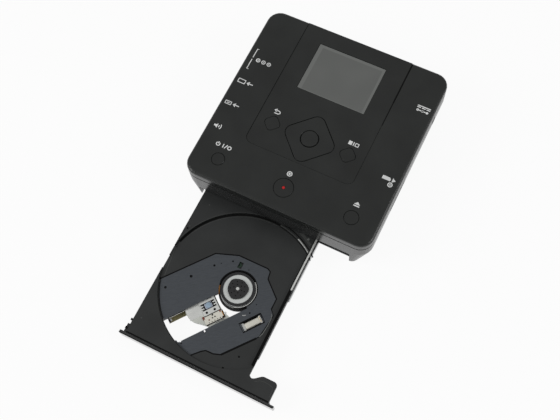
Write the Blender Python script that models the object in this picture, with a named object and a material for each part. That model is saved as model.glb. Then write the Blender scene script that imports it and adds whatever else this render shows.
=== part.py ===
"""Portable disc recorder: a flat square case with a colour screen and a key panel on
top, and a slim disc drive whose tray is pulled out at the front.

Metres, +Z up, +Y to the back of the case, +X to the right seen from the front.
The origin is on the floor, below the middle of the recorder with its tray out.
"""

import math

import bmesh
import bpy
from mathutils import Matrix, Vector

# Movement
TRAY_TRAVEL = 0.1290

# Case
CASE_SIDE_ROOM = 0.0143
CASE_CORNER_RADIUS = 0.0110
CASE_WALL = 0.0022
BASE_NARROWING = 0.0085
BASE_CORNER_RADIUS = 0.0060
SHOULDER_HEIGHT = 0.0221
SEAM_GAP = 0.0013
LIP_HEIGHT = 0.0027
LIP_THICKNESS = 0.0010
LIP_SHELF_DROP = 0.0012
LIP_RAMP = 0.0010

# Top cover
COVER_HEIGHT = 0.0080
COVER_THICKNESS = 0.0030
COVER_SKIRT = 0.0020
COVER_EDGE_RADIUS = 0.0026
BOSS_RADIUS = 0.0030
BOSS_BORE_RADIUS = 0.0010
BOSS_BORE_DEPTH = 0.0040
BOSS_INSET = 0.0105

# Base and feet
BASE_THICKNESS = 0.0016
BASE_SETBACK = 0.0025
FOOT_LIFT = 0.0020
FOOT_RADIUS = 0.0050
FOOT_INSET = 0.0120
FOOT_EDGE = 0.0006

# Clearances
SEAT = 0.0003
RUN = 0.0005
BUTTON_GAP = 0.0003
OVERCUT = 0.0040

# Panel and screen
PANEL_WIDTH = 0.0914
PANEL_FRONT = 0.0411
KEY_AREA_DEPTH = 0.0487
SCREEN_AREA_DEPTH = 0.0686
PANEL_THICKNESS = 0.0014
PANEL_SINK = 0.0004
PANEL_CORNER_RADIUS = 0.0060
PANEL_BACK_SETBACK = 0.0006
SCREEN_WIDTH = 0.0574
SCREEN_DEPTH = 0.0432
SCREEN_SETBACK = 0.0324
SCREEN_SINK = 0.0003
MODULE_WIDTH = 0.0692
MODULE_DEPTH = 0.0500
MODULE_THICKNESS = 0.0030

# Buttons
BUTTON_ROW = 0.0184
BUTTON_PITCH = 0.0561
BUTTON_PROUD = 0.0003
BUTTON_EDGE = 0.0003
BUTTON_TRAVEL = 0.0004
POWER_RADIUS = 0.0051
RECORD_RADIUS = 0.0077
OPEN_RADIUS = 0.0056
LAMP_RADIUS = 0.0011
LAMP_DEPTH = 0.0012
FLANGE_WIDTH = 0.0012
FLANGE_THICKNESS = 0.0008
FLANGE_DROP = 0.0004
STEM_RADIUS = 0.0016

# Key cluster
NAV_SETBACK = 0.0225
NAV_HALF_DIAGONAL = 0.0228
NAV_CORNER_RADIUS = 0.0062
NAV_FLANGE_DROP = 0.0015
NAV_GAP = 0.0007
NAV_SIDE_PARTS = 5
NAV_RISE = 0.0008
OK_RADIUS = 0.0068
OK_GAP = 0.0005
SIDE_KEY_INSET = 0.0135
SIDE_KEY_HALF_DIAGONAL = 0.0076
SIDE_KEY_CORNER_RADIUS = 0.0032
CRADLE_WIDTH = 0.0025
CRADLE_THICKNESS = 0.0010

# Boards and switches
BOARD_THICKNESS = 0.0016
KEY_BOARD_DROP = 0.0061
BOARD_ROOM = 0.0111
KEY_BOARD_MARGIN = 0.0075
SWITCH_SIZE = 0.0060
SWITCH_HEIGHT = 0.0034
NAV_SWITCH_HEIGHT = 0.0018
OK_SWITCH_HEIGHT = 0.0009
NAV_SWITCH_REACH = 0.0150
PLUNGER_RADIUS = 0.0015
PLUNGER_HEIGHT = 0.0006
MAIN_BOARD_LIFT = 0.0034
MAIN_BOARD_MARGIN = 0.0068
MAIN_BOARD_FRONT = 0.0300
MAIN_BOARD_BACK = 0.0104
PROCESSOR_SIZE = 0.0200
MEMORY_SIZE = 0.0110
CHIP_HEIGHT = 0.0022
CAPACITOR_RADIUS = 0.0032
CAPACITOR_HEIGHT = 0.0068
STANDOFF_RADIUS = 0.0028

# Sockets, heights and places from the case front
SOCKET_AXIS_RISE = 0.0059
SOCKET_SETBACK = 0.0010
CARD_AXIS_DROP = 0.0012
SOUND_JACK_PLACE = 0.0869
SOUND_JACK_PITCH = 0.01425
SOUND_JACK_BARREL = 0.0041
SOUND_JACK_BORE = 0.0017
SOUND_JACK_BLOCK = 0.0096
SOUND_JACK_LENGTH = 0.0130
SOUND_JACK_SINK = 0.0006
VIDEO_PORT_PLACE = 0.0650
VIDEO_PORT_WIDTH = 0.0150
VIDEO_PORT_HEIGHT = 0.0058
VIDEO_PORT_LENGTH = 0.0110
DATA_PORT_PLACE = 0.0434
DATA_PORT_WIDTH = 0.0131
DATA_PORT_HEIGHT = 0.0057
DATA_PORT_LENGTH = 0.0140
PORT_SHEET = 0.0004
PORT_TONGUE = 0.0016
PORT_DEPTH = 0.0080
POWER_INLET_PLACE = 0.1259
POWER_INLET_SIZE = 0.0090
POWER_INLET_LENGTH = 0.0120
POWER_INLET_BORE = 0.0031
POWER_INLET_PIN = 0.0010
POWER_INLET_DEPTH = 0.0090
CARD_SLOT_PLACE = 0.0559
CARD_SLOT_WIDTH = 0.0262
CARD_SLOT_HEIGHT = 0.0032
CARD_SOCKET_LENGTH = 0.0260
CARD_DEPTH = 0.0220

# Drive chassis
DRIVE_OFFSET = -0.0005
DRIVE_SIDE_ROOM = 0.0056
DRIVE_HEIGHT = 0.0134
DRIVE_SHEET = 0.0006
DRIVE_BACK_ROOM = 0.0250
OPENING_MARGIN = 0.0007
OPENING_CORNER_RADIUS = 0.0010
LID_PRESSING_DEPTH = 0.0003
LID_PRESSING_WIDTH = 0.0700
LID_PRESSING_LENGTH = 0.0560
DRIVE_BOARD_SHORTFALL = 0.0400
DRIVE_BOARD_GAP = 0.0014

# Disc tray
SPINDLE_X = -0.0010
RECESS_FRONT_ROOM = 0.0072
RECESS_BACK_ROOM = 0.0014
RECESS_OPEN = 0.0234
LAND_DROP = 0.0006
RECESS_RADIUS = 0.0612
RECESS_DEPTH = 0.0018
TRAY_FLOOR = 0.0012
SKIRT_DEPTH = 0.0090
SKIRT_THICKNESS = 0.0016
SKIRT_INSET = 0.0014
RUNNER_REACH = 0.0012
RUNNER_TOP = 0.0048
RUNNER_BOTTOM = 0.0084
RUNNER_FRONT = -0.0400
EAR_REACH = 0.0020
EAR_LENGTH = 0.0070
WING_ROOM = 0.0045
WING_DEPTH = 0.0156
WING_CORNER_RADIUS = 0.0026
SCOOP_RADIUS = 0.0042

# Bezel
BEZEL_OVERHANG = 0.0007
BEZEL_SHIFT = 0.0012
BEZEL_HEIGHT = 0.0127
BEZEL_THICKNESS = 0.0020
BEZEL_EDGE = 0.0007
BEZEL_LIFT = 0.0003

# Rails
RAIL_SHEET = 0.0004
RAIL_DEPTH = 0.0018
RAIL_TOP = 0.0042
RAIL_BOTTOM = 0.0090
RAIL_FRONT = 0.0092
RAIL_SHORTFALL = 0.0192
RAIL_GAP = 0.0004
GUIDE_WEB = 0.0012
GUIDE_FLANGE = 0.0006
GUIDE_LIP = 0.0015

# Traverse
SLED_BEARING = math.radians(-127.37)
PLATE_DROP = 0.0019
PLATE_THICKNESS = 0.0005
PLATE_GAP = 0.0007
FRAME_BOTTOM = 0.0094
FRAME_FLOOR = 0.0011
SLOT_LEFT = 0.0041
SLOT_RIGHT = 0.0166
SPINDLE_HOLE_RADIUS = 0.0149
MOTOR_WELL_FLOOR = 0.0014
WINDOW_INNER = -0.0066
WINDOW_OUTER = 0.0095
WINDOW_LEFT = 0.0248
WINDOW_RIGHT = 0.0316
SLOT_SIDE_MARGIN = 0.0014
FRAME_LAP = 0.0014
MOTOR_DISC_RADIUS = 0.0156

# Spindle
STATOR_RADIUS = 0.0140
STATOR_THICKNESS = 0.0010
ROTOR_RADIUS = 0.0133
ROTOR_SKIRT = 0.0032
ROTOR_SHEET = 0.0007
SHAFT_RADIUS = 0.0012
DISC_SEAT_DROP = 0.0010
PAD_WIDTH = 0.0020
PAD_THICKNESS = 0.0005
HUB_RADIUS = 0.0073
HUB_HEIGHT = 0.0012
HUB_EDGE = 0.0004
CLAW_REACH = 0.0008
CLAW_HALF_WIDTH = 0.0022
HUB_SLOT_WIDTH = 0.0007
PIN_RADIUS = 0.0013

# Sled, rods and feed
ROD_RADIUS = 0.00125
ROD_DROP = 0.0060
ROD_A_SIDE = -0.0082
ROD_B_SIDE = 0.0202
ROD_INNER = 0.0136
ROD_A_OUTER = 0.0594
ROD_B_OUTER = 0.0546
ROD_HOLD = 0.0020
SLED_TOP = 0.0039
SLED_BOTTOM = 0.0080
SLED_FLOOR = 0.0010
BUSH_REACH = 0.0038
SLED_TRAVEL_IN = 0.0020
SLED_TRAVEL_OUT = 0.0300
LENS_RADIUS_OUT = 0.0252
LENS_SIDE = 0.0006
LENS_RADIUS = 0.0022
LENS_FOCUS = 0.0004
HOLDER_LENGTH = 0.0066
HOLDER_WIDTH = 0.0090
HOLDER_HEIGHT = 0.0022
YOKE_THICKNESS = 0.0009
ACTUATOR_INNER = 0.0182
ACTUATOR_OUTER = 0.0314
ACTUATOR_LEFT = -0.0052
ACTUATOR_RIGHT = 0.0076
ACTUATOR_SHEET = 0.0005
STRIP_INNER = 0.0178
STRIP_OUTER = 0.0326
STRIP_LEFT = 0.0092
STRIP_RIGHT = 0.0146
STRIP_THICKNESS = 0.0004
SCREW_SIDE = 0.0282
SCREW_RADIUS = 0.0014
SCREW_DROP = 0.0055
SCREW_OUTER = 0.0520
SCREW_HOLD = 0.0017
NUT_INNER = 0.0156
NUT_OUTER = 0.0196
NUT_HALF_WIDTH = 0.0022
MOTOR_INNER = -0.0072
MOTOR_OUTER = 0.0106
MOTOR_LEFT = 0.0250
MOTOR_RIGHT = 0.0314
FLEX_THICKNESS = 0.0003
FLEX_WIDTH = 0.0039
FLEX_LENGTH = 0.0150
MOTOR_FLEX_WIDTH = 0.0034

# Smoothness
ARC_STEPS = 6
ROUND_STEPS = 28
RECESS_STEPS = 72
SMOOTH_ANGLE = math.radians(35)

# Shares of the recess radius, from the spindle: the outline of the traverse's cover
COVER_PLATE_SHARES = (
    (-0.466, 0.288), (-0.186, 0.391), (0.214, 0.392), (0.255, 0.371), (0.271, 0.276),
    (0.480, 0.093), (0.480, -0.047), (0.542, -0.111), (0.502, -0.417), (0.186, -0.807),
    (0.100, -0.838), (-0.002, -0.842), (-0.051, -0.877),
)
COVER_PLATE_ARC_SHARES = (-0.1358, -0.9670, -0.9314, -0.2941)
COVER_PLATE_HOLE_SHARES = (
    (-0.830, -0.369, 0.0170), (-0.608, -0.103, 0.0185), (-0.410, 0.147, 0.0150),
    (-0.346, 0.209, 0.0070), (-0.224, 0.297, 0.0120), (0.008, 0.281, 0.0070),
    (0.296, -0.074, 0.0070), (0.270, -0.204, 0.0110),
)
COVER_PLATE_SLIT_SHARES = ((-0.121, -0.647), (-0.319, -0.897))
SLIT_LENGTH = 0.0026
SLIT_WIDTH = 0.0011
SQUARE_HOLE_PLACE_SHARES = (-0.114, 0.290)
SQUARE_HOLE_WIDTH = 0.0034
SQUARE_HOLE_LENGTH = 0.0052

# Shares of the recess radius along and across the sled's path
SLED_SHARES = (
    (0.287, -0.188), (0.440, -0.188), (0.440, -0.075), (0.696, -0.075), (0.706, -0.024),
    (0.700, 0.030), (0.688, 0.070), (0.664, 0.110), (0.631, 0.145), (0.590, 0.178),
    (0.547, 0.221), (0.507, 0.265), (0.356, 0.265), (0.356, 0.382), (0.320, 0.382),
    (0.320, 0.418), (0.255, 0.418), (0.255, 0.382), (0.242, 0.382), (0.242, 0.262),
    (0.281, 0.150), (0.287, 0.060), (0.287, -0.060),
)
PLATE_BOSS_SHARES = ((0.220, -0.340), (-0.300, 0.160), (0.200, 0.580), (-0.100, 0.340))

# Shares of a board, across it from its middle and along it from its front
PROCESSOR_PLACE_SHARES = (0.02, 0.52)
MEMORY_LEFT_PLACE_SHARES = (-0.16, 0.60)
MEMORY_RIGHT_PLACE_SHARES = (0.20, 0.58)
CAPACITOR_PLACE_SHARES = ((0.30, 0.90), (0.24, 0.90), (-0.10, 0.88), (0.30, 0.30))
DRIVE_CHIP_PLACE_SHARES = (0.22, 0.68)

# Sizes that follow from others
SPINDLE_SETBACK = RECESS_RADIUS + RECESS_FRONT_ROOM
TRAY_BACK = RECESS_RADIUS + RECESS_BACK_ROOM
TRAY_RIGHT = RECESS_RADIUS - RECESS_OPEN
DRIVE_WIDTH = 2 * RECESS_RADIUS + DRIVE_SIDE_ROOM
SIDE_KEY_PITCH = PANEL_WIDTH / 2 - SIDE_KEY_INSET
DRIVE_SETBACK = BEZEL_THICKNESS + RUN
CASE_WIDTH = DRIVE_WIDTH + 2 * CASE_SIDE_ROOM
CASE_DEPTH = PANEL_FRONT + KEY_AREA_DEPTH + SCREEN_AREA_DEPTH
PANEL_SPLIT = PANEL_FRONT + KEY_AREA_DEPTH
SCREEN_CENTRE = PANEL_SPLIT + SCREEN_SETBACK
NAV_CENTRE = PANEL_FRONT + NAV_SETBACK
MAIN_BOARD_WIDTH = CASE_WIDTH - 2 * MAIN_BOARD_MARGIN
MAIN_BOARD_DEPTH = CASE_DEPTH - MAIN_BOARD_FRONT - MAIN_BOARD_BACK
DRIVE_DEPTH = CASE_DEPTH - DRIVE_SETBACK - DRIVE_BACK_ROOM
DRIVE_BOARD_LENGTH = DRIVE_DEPTH - DRIVE_BOARD_SHORTFALL
BEZEL_WIDTH = DRIVE_WIDTH + 2 * BEZEL_OVERHANG
RAIL_LENGTH = DRIVE_DEPTH - RAIL_SHORTFALL
TRAY_LEFT = DRIVE_WIDTH / 2 - DRIVE_OFFSET + SPINDLE_X - DRIVE_SHEET - SEAT - RAIL_DEPTH - RAIL_GAP
WING_REACH = DRIVE_WIDTH / 2 + DRIVE_OFFSET - SPINDLE_X - DRIVE_SHEET - WING_ROOM

# Heights
BASE_BOTTOM = FOOT_LIFT
BASE_TOP = BASE_BOTTOM + BASE_THICKNESS
SHOULDER = BASE_BOTTOM + SHOULDER_HEIGHT
PAN_BOTTOM = BASE_TOP + SEAT
PAN_FLOOR = PAN_BOTTOM + DRIVE_SHEET
LID_TOP = PAN_BOTTOM + DRIVE_HEIGHT
LID_BOTTOM = LID_TOP - DRIVE_SHEET
LAND = LID_BOTTOM - LAND_DROP
BEZEL_BOTTOM = PAN_BOTTOM + BEZEL_LIFT
BEZEL_TOP = BEZEL_BOTTOM + BEZEL_HEIGHT
OPENING_TOP = BEZEL_TOP + OPENING_MARGIN
MAIN_BOARD_BOTTOM = LID_TOP + MAIN_BOARD_LIFT
MAIN_BOARD_TOP = MAIN_BOARD_BOTTOM + BOARD_THICKNESS
SOCKET_AXIS = MAIN_BOARD_TOP + SOCKET_AXIS_RISE
CARD_AXIS = SOCKET_AXIS - CARD_AXIS_DROP
KEY_BOARD_BOTTOM = MAIN_BOARD_TOP + BOARD_ROOM
KEY_BOARD_TOP = KEY_BOARD_BOTTOM + BOARD_THICKNESS
CEILING = KEY_BOARD_TOP + KEY_BOARD_DROP
CASE_TOP = CEILING + COVER_THICKNESS
COVER_BOTTOM = CASE_TOP - COVER_HEIGHT
SHELL_TOP = COVER_BOTTOM - SEAM_GAP
PANEL_TOP = CASE_TOP - PANEL_SINK
PANEL_BOTTOM = PANEL_TOP - PANEL_THICKNESS
POCKET_FLOOR = PANEL_BOTTOM - SEAT

# Places
CASE_BACK = (CASE_DEPTH + TRAY_TRAVEL) / 2
CASE_FRONT = CASE_BACK - CASE_DEPTH
CASE_MIDDLE = (CASE_FRONT + CASE_BACK) / 2
BEZEL_FRONT = CASE_FRONT - TRAY_TRAVEL
BEZEL_BACK = BEZEL_FRONT + BEZEL_THICKNESS
SPINDLE_Y = BEZEL_FRONT + SPINDLE_SETBACK
TRAY_FRONT = BEZEL_BACK + SEAT - SPINDLE_Y
DRIVE_FRONT = CASE_FRONT + DRIVE_SETBACK
DRIVE_BACK = DRIVE_FRONT + DRIVE_DEPTH
SPINDLE = Vector((SPINDLE_X, SPINDLE_Y, 0))

# Finishes: colour, roughness, metallic
FINISHES = {
    "satin_black": ((0.030, 0.032, 0.031), 0.42, 0.0),
    "gloss_black": ((0.016, 0.017, 0.018), 0.12, 0.0),
    "key_black": ((0.026, 0.028, 0.027), 0.38, 0.0),
    "tray_black": ((0.040, 0.043, 0.043), 0.48, 0.0),
    "screen_grey": ((0.125, 0.132, 0.125), 0.16, 0.0),
    "red_lamp": ((0.520, 0.020, 0.020), 0.30, 0.0),
    "rubber": ((0.015, 0.015, 0.016), 0.80, 0.0),
    "steel": ((0.560, 0.570, 0.570), 0.32, 1.0),
    "bright_steel": ((0.780, 0.790, 0.790), 0.18, 1.0),
    "blued_plate": ((0.060, 0.070, 0.092), 0.46, 0.6),
    "board_green": ((0.020, 0.110, 0.060), 0.45, 0.0),
    "cast_grey": ((0.480, 0.500, 0.470), 0.40, 0.8),
    "lens_glass": ((0.300, 0.360, 0.480), 0.06, 0.0),
    "flex_amber": ((0.450, 0.200, 0.045), 0.40, 0.0),
    "flex_olive": ((0.260, 0.240, 0.120), 0.45, 0.0),
    "pale_resin": ((0.620, 0.590, 0.500), 0.45, 0.0),
}


def clear_scene():
    """Empty the file so that the model is all that it holds."""
    for item in list(bpy.data.objects):
        bpy.data.objects.remove(item, do_unlink=True)
    for block in (bpy.data.meshes, bpy.data.materials):
        for item in list(block):
            block.remove(item)


def finish(name):
    """Return the material called name, made on its first use."""
    material = bpy.data.materials.get(name)
    if material is None:
        colour, roughness, metallic = FINISHES[name]
        material = bpy.data.materials.new(name)
        material.use_nodes = True
        shader = material.node_tree.nodes["Principled BSDF"]
        shader.inputs["Base Color"].default_value = (*colour, 1)
        shader.inputs["Roughness"].default_value = roughness
        shader.inputs["Metallic"].default_value = metallic
    return material


# Outlines: lists of points in a plane, anticlockwise

def circle(radius, centre=(0, 0), steps=ROUND_STEPS):
    points = []
    for index in range(steps):
        angle = 2 * math.pi * index / steps
        points.append((centre[0] + radius * math.cos(angle), centre[1] + radius * math.sin(angle)))
    return points


def arc(radius, start, end, centre=(0, 0), steps=ARC_STEPS):
    points = []
    for index in range(steps + 1):
        angle = start + (end - start) * index / steps
        points.append((centre[0] + radius * math.cos(angle), centre[1] + radius * math.sin(angle)))
    return points


def rounded_rect(width, depth, radius, centre=(0, 0), steps=ARC_STEPS):
    points = []
    for quarter, (side, end) in enumerate(((1, -1), (1, 1), (-1, 1), (-1, -1))):
        corner = (
            centre[0] + side * (width / 2 - radius),
            centre[1] + end * (depth / 2 - radius),
        )
        start = math.pi / 2 * (quarter - 1)
        points += arc(radius, start, start + math.pi / 2, corner, steps)
    return points


def rect(left, right, front, back):
    return [(left, front), (right, front), (right, back), (left, back)]


def rounded_diamond(half_diagonal, radius, centre=(0, 0), steps=ARC_STEPS):
    """A square stood on its corner, with rounded corners."""
    points = []
    reach = half_diagonal - radius * math.sqrt(2)
    for quarter in range(4):
        middle = math.pi / 2 * quarter
        corner = (centre[0] + reach * math.cos(middle), centre[1] + reach * math.sin(middle))
        points += arc(radius, middle - math.pi / 4, middle + math.pi / 4, corner, steps)
    return points


def divided(outline, longest):
    """Add points along the edges that are longer than a length."""
    points = []
    for index, start in enumerate(outline):
        end = outline[(index + 1) % len(outline)]
        parts = max(1, math.ceil(math.dist(start, end) / longest))
        for part in range(parts):
            share = part / parts
            points.append((start[0] + (end[0] - start[0]) * share, start[1] + (end[1] - start[1]) * share))
    return points


def circle_like(outline, radius, centre=(0, 0)):
    """A circle with a point at the bearing of each point of the outline."""
    points = []
    for x, y in outline:
        angle = math.atan2(y - centre[1], x - centre[0])
        points.append((centre[0] + radius * math.cos(angle), centre[1] + radius * math.sin(angle)))
    return points


def level(outline, height):
    return [(x, y, height) for x, y in outline]


def scaled(shares, size):
    return [(size * x, size * y) for x, y in shares]


def offset(outline, distance):
    """Move each edge of an anticlockwise outline outward and meet them again."""
    moved = []
    count = len(outline)
    for index in range(count):
        before = Vector(outline[index - 1])
        here = Vector(outline[index])
        after = Vector(outline[(index + 1) % count])
        first = (here - before).normalized()
        second = (after - here).normalized()
        normal = Vector((first.y, -first.x)) + Vector((second.y, -second.x))
        normal.normalize()
        lean = max(normal.dot(Vector((first.y, -first.x))), 0.5)
        moved.append(tuple(here + normal * distance / lean))
    return moved


# Solids

def loft(rings, closed=False):
    """Skin rings of equal counts, capped at both ends, or joined end to start."""
    shape = bmesh.new()
    rows = [[shape.verts.new(point) for point in ring] for ring in rings]
    pairs = list(zip(rows[:-1], rows[1:]))
    if closed:
        pairs.append((rows[-1], rows[0]))
    else:
        shape.faces.new(rows[0])
        shape.faces.new(rows[-1])
    for low, high in pairs:
        for index in range(len(low)):
            after = (index + 1) % len(low)
            shape.faces.new((low[index], low[after], high[after], high[index]))
    bmesh.ops.recalc_face_normals(shape, faces=shape.faces)
    return shape


def prism(outline, bottom, top):
    return loft([level(outline, bottom), level(outline, top)])


def turned(profile, steps=ROUND_STEPS, bored=False):
    """Turn a profile of (radius, height) about Z; a bored one closes on itself."""
    rings = []
    for radius, height in profile:
        rings.append(level(circle(radius, steps=steps), height))
    return loft(rings, closed=bored)


def turned_shell(outlines):
    """A ring-shaped solid through (outline, height) pairs that closes on itself."""
    return loft([level(outline, height) for outline, height in outlines], closed=True)


def solid(name, shape, material, place=(0, 0, 0), turn=0.0):
    """Make the object called name from a shape in the frame at place and turn."""
    mesh = bpy.data.meshes.new(name)
    shape.to_mesh(mesh)
    shape.free()
    mesh.materials.append(finish(material))
    mesh.shade_smooth()
    mesh.set_sharp_from_angle(angle=SMOOTH_ANGLE)
    item = bpy.data.objects.new(name, mesh)
    item.location = place
    item.rotation_euler = (0, 0, turn)
    bpy.context.scene.collection.objects.link(item)
    return item


def guide(name, shape, place=(0, 0, 0), turn=0.0):
    """A hidden shape that cuts or extends another."""
    item = solid(name, shape, "steel", place, turn)
    item.hide_render = True
    item.display_type = "WIRE"
    return item


def combine(target, operation, tools):
    """Apply a cut or a join to the target for each of the hidden shapes."""
    for tool in tools:
        step = target.modifiers.new(tool.name, "BOOLEAN")
        step.operation = operation
        step.solver = "EXACT"
        step.object = tool


def cut(target, *tools):
    combine(target, "DIFFERENCE", tools)


def join(target, *tools):
    combine(target, "UNION", tools)


def along_x(shape, start, height, y):
    """Lay a shape made about +Z along +X, from start."""
    turn = Matrix.Rotation(math.pi / 2, 4, "Y")
    bmesh.ops.transform(shape, matrix=Matrix.Translation((start, y, height)) @ turn, verts=shape.verts)
    return shape


def moved_origin(item, origin):
    """Put the origin of the object at a point and leave its mesh where it is."""
    shift = Vector(origin) - item.location
    item.data.transform(Matrix.Translation(item.rotation_euler.to_matrix().inverted() @ -shift))
    item.location = origin
    return item


# Case

def case_outline(inset):
    radius = max(CASE_CORNER_RADIUS - inset, SEAT)
    return rounded_rect(
        CASE_WIDTH - 2 * inset, CASE_DEPTH - 2 * inset, radius, (0, CASE_MIDDLE)
    )


def base_outline(inset):
    """The narrower outline at the bottom of the shell, drawn in at both sides."""
    return rounded_rect(
        CASE_WIDTH - 2 * (BASE_NARROWING + inset),
        CASE_DEPTH - 2 * inset,
        max(BASE_CORNER_RADIUS - inset, SEAT),
        (0, CASE_MIDDLE),
    )


def sound_jack_places():
    return [SOUND_JACK_PLACE + SOUND_JACK_PITCH * index for index in range(3)]


def make_lower_shell():
    lip_outer = COVER_SKIRT + SEAT
    lip_inner = lip_outer + LIP_THICKNESS
    shelf = SHELL_TOP - LIP_SHELF_DROP
    shell = solid(
        "lower_shell",
        turned_shell((
            (base_outline(0), BASE_BOTTOM),
            (case_outline(0), SHOULDER),
            (case_outline(0), SHELL_TOP),
            (case_outline(lip_outer), SHELL_TOP),
            (case_outline(lip_outer), SHELL_TOP + LIP_HEIGHT),
            (case_outline(lip_inner), SHELL_TOP + LIP_HEIGHT),
            (case_outline(lip_inner), shelf),
            (case_outline(CASE_WALL), shelf - LIP_RAMP),
            (case_outline(CASE_WALL), SHOULDER),
            (base_outline(CASE_WALL), BASE_BOTTOM),
        )),
        "satin_black",
    )
    mouth_width = BEZEL_WIDTH + 2 * OPENING_MARGIN
    mouth_height = 2 * (OPENING_TOP - BASE_BOTTOM)
    mouth = prism(
        rounded_rect(
            mouth_height, mouth_width, OPENING_CORNER_RADIUS, (BASE_BOTTOM, DRIVE_OFFSET - BEZEL_SHIFT), 2
        ),
        CASE_FRONT - OVERCUT,
        CASE_FRONT + CASE_WALL + OVERCUT,
    )
    swap = Matrix(((0, 1, 0, 0), (0, 0, 1, 0), (1, 0, 0, 0), (0, 0, 0, 1)))
    bmesh.ops.transform(mouth, matrix=swap, verts=mouth.verts)
    tools = [guide("tray_mouth", mouth)]
    left = -CASE_WIDTH / 2 - OVERCUT
    reach = CASE_WALL + 2 * OVERCUT
    for index, place in enumerate(sound_jack_places()):
        bore = prism(circle(SOUND_JACK_BARREL + SEAT, steps=20), 0, reach)
        tools.append(guide(f"jack_hole_{index + 1}", along_x(bore, left, SOCKET_AXIS, CASE_FRONT + place)))
    for name, place, width, height in (
        ("video_hole", VIDEO_PORT_PLACE, VIDEO_PORT_WIDTH, VIDEO_PORT_HEIGHT),
        ("data_hole", DATA_PORT_PLACE, DATA_PORT_WIDTH, DATA_PORT_HEIGHT),
    ):
        hole = prism(rect(-height / 2 - SEAT, height / 2 + SEAT, -width / 2 - SEAT, width / 2 + SEAT), 0, reach)
        tools.append(guide(name, along_x(hole, left, SOCKET_AXIS, CASE_FRONT + place)))
    right = CASE_WIDTH / 2 + OVERCUT - reach
    bore = prism(circle(POWER_INLET_BORE + SEAT, steps=20), 0, reach)
    tools.append(guide("power_hole", along_x(bore, right, SOCKET_AXIS, CASE_FRONT + POWER_INLET_PLACE)))
    half = CARD_SLOT_HEIGHT / 2 + SEAT
    wide = CARD_SLOT_WIDTH / 2 + SEAT
    slot = prism(rect(-half, half, -wide, wide), 0, reach)
    tools.append(guide("card_hole", along_x(slot, right, CARD_AXIS, CASE_FRONT + CARD_SLOT_PLACE)))
    cut(shell, *tools)


def button_places():
    """Centre, outline maker and gap of each opening in the top."""
    row = CASE_FRONT + BUTTON_ROW
    return {
        "power_button": ((-BUTTON_PITCH, row), POWER_RADIUS),
        "record_button": ((0, row), RECORD_RADIUS),
        "open_button": ((BUTTON_PITCH, row), OPEN_RADIUS),
    }


def nav_centre():
    return (0, CASE_FRONT + NAV_CENTRE)


def side_key_places():
    return {
        "back_button": (-SIDE_KEY_PITCH, CASE_FRONT + NAV_CENTRE),
        "stop_button": (SIDE_KEY_PITCH, CASE_FRONT + NAV_CENTRE),
    }


def screen_outline(margin):
    half = SCREEN_WIDTH / 2 + margin
    centre = CASE_FRONT + SCREEN_CENTRE
    return rect(-half, half, centre - SCREEN_DEPTH / 2 - margin, centre + SCREEN_DEPTH / 2 + margin)


def make_top_cover():
    rings = [(case_outline(COVER_EDGE_RADIUS), CASE_TOP)]
    steps = ARC_STEPS - 2
    for index in range(1, steps + 1):
        angle = math.pi / 2 * index / steps
        inset = COVER_EDGE_RADIUS * (1 - math.sin(angle))
        rings.append((case_outline(inset), CASE_TOP - COVER_EDGE_RADIUS * (1 - math.cos(angle))))
    rings.append((case_outline(0), COVER_BOTTOM))
    rings.append((case_outline(COVER_SKIRT), COVER_BOTTOM))
    rings.append((case_outline(COVER_SKIRT), CEILING))
    cover = solid("top_cover", loft([level(outline, height) for outline, height in rings]), "satin_black")
    bosses = []
    bores = []
    for side in (-1, 1):
        for y in (CASE_FRONT + BOSS_INSET, CASE_BACK - BOSS_INSET):
            x = side * (CASE_WIDTH / 2 - BOSS_INSET)
            spot = f"{'left' if side < 0 else 'right'}_{'front' if y < CASE_MIDDLE else 'back'}"
            boss = prism(circle(BOSS_RADIUS, (x, y), 16), KEY_BOARD_TOP + SEAT, CEILING + COVER_THICKNESS / 2)
            bosses.append(guide(f"boss_{spot}", boss))
            bore = prism(
                circle(BOSS_BORE_RADIUS, (x, y), 10),
                KEY_BOARD_TOP - OVERCUT,
                KEY_BOARD_TOP + SEAT + BOSS_BORE_DEPTH,
            )
            bores.append(guide(f"boss_bore_{spot}", bore))
    join(cover, *bosses)
    half = PANEL_WIDTH / 2
    front = CASE_FRONT + PANEL_FRONT
    pocket_depth = CASE_BACK + OVERCUT + PANEL_CORNER_RADIUS - front
    pocket = prism(
        rounded_rect(2 * half, pocket_depth, PANEL_CORNER_RADIUS, (0, front + pocket_depth / 2)),
        POCKET_FLOOR,
        CASE_TOP + OVERCUT,
    )
    tools = [guide("panel_pocket", pocket)]
    for name, (centre, radius) in button_places().items():
        hole = prism(circle(radius + BUTTON_GAP, centre), CEILING - OVERCUT, CASE_TOP + OVERCUT)
        tools.append(guide(f"{name}_hole", hole))
    nav = prism(
        rounded_diamond(NAV_HALF_DIAGONAL + NAV_GAP + FLANGE_WIDTH / 2, NAV_CORNER_RADIUS, nav_centre(), 5),
        CEILING - OVERCUT,
        POCKET_FLOOR + SEAT / 2,
    )
    tools.append(guide("nav_hole", nav))
    for name, centre in side_key_places().items():
        hole = prism(
            rounded_diamond(SIDE_KEY_HALF_DIAGONAL + BUTTON_GAP, SIDE_KEY_CORNER_RADIUS, centre, 4),
            CEILING - OVERCUT,
            POCKET_FLOOR + SEAT / 2,
        )
        tools.append(guide(f"{name}_hole", hole))
    tools.append(guide("screen_hole", prism(screen_outline(RUN), CEILING - OVERCUT, POCKET_FLOOR + SEAT / 2)))
    cut(cover, *tools, *bores)


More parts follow.
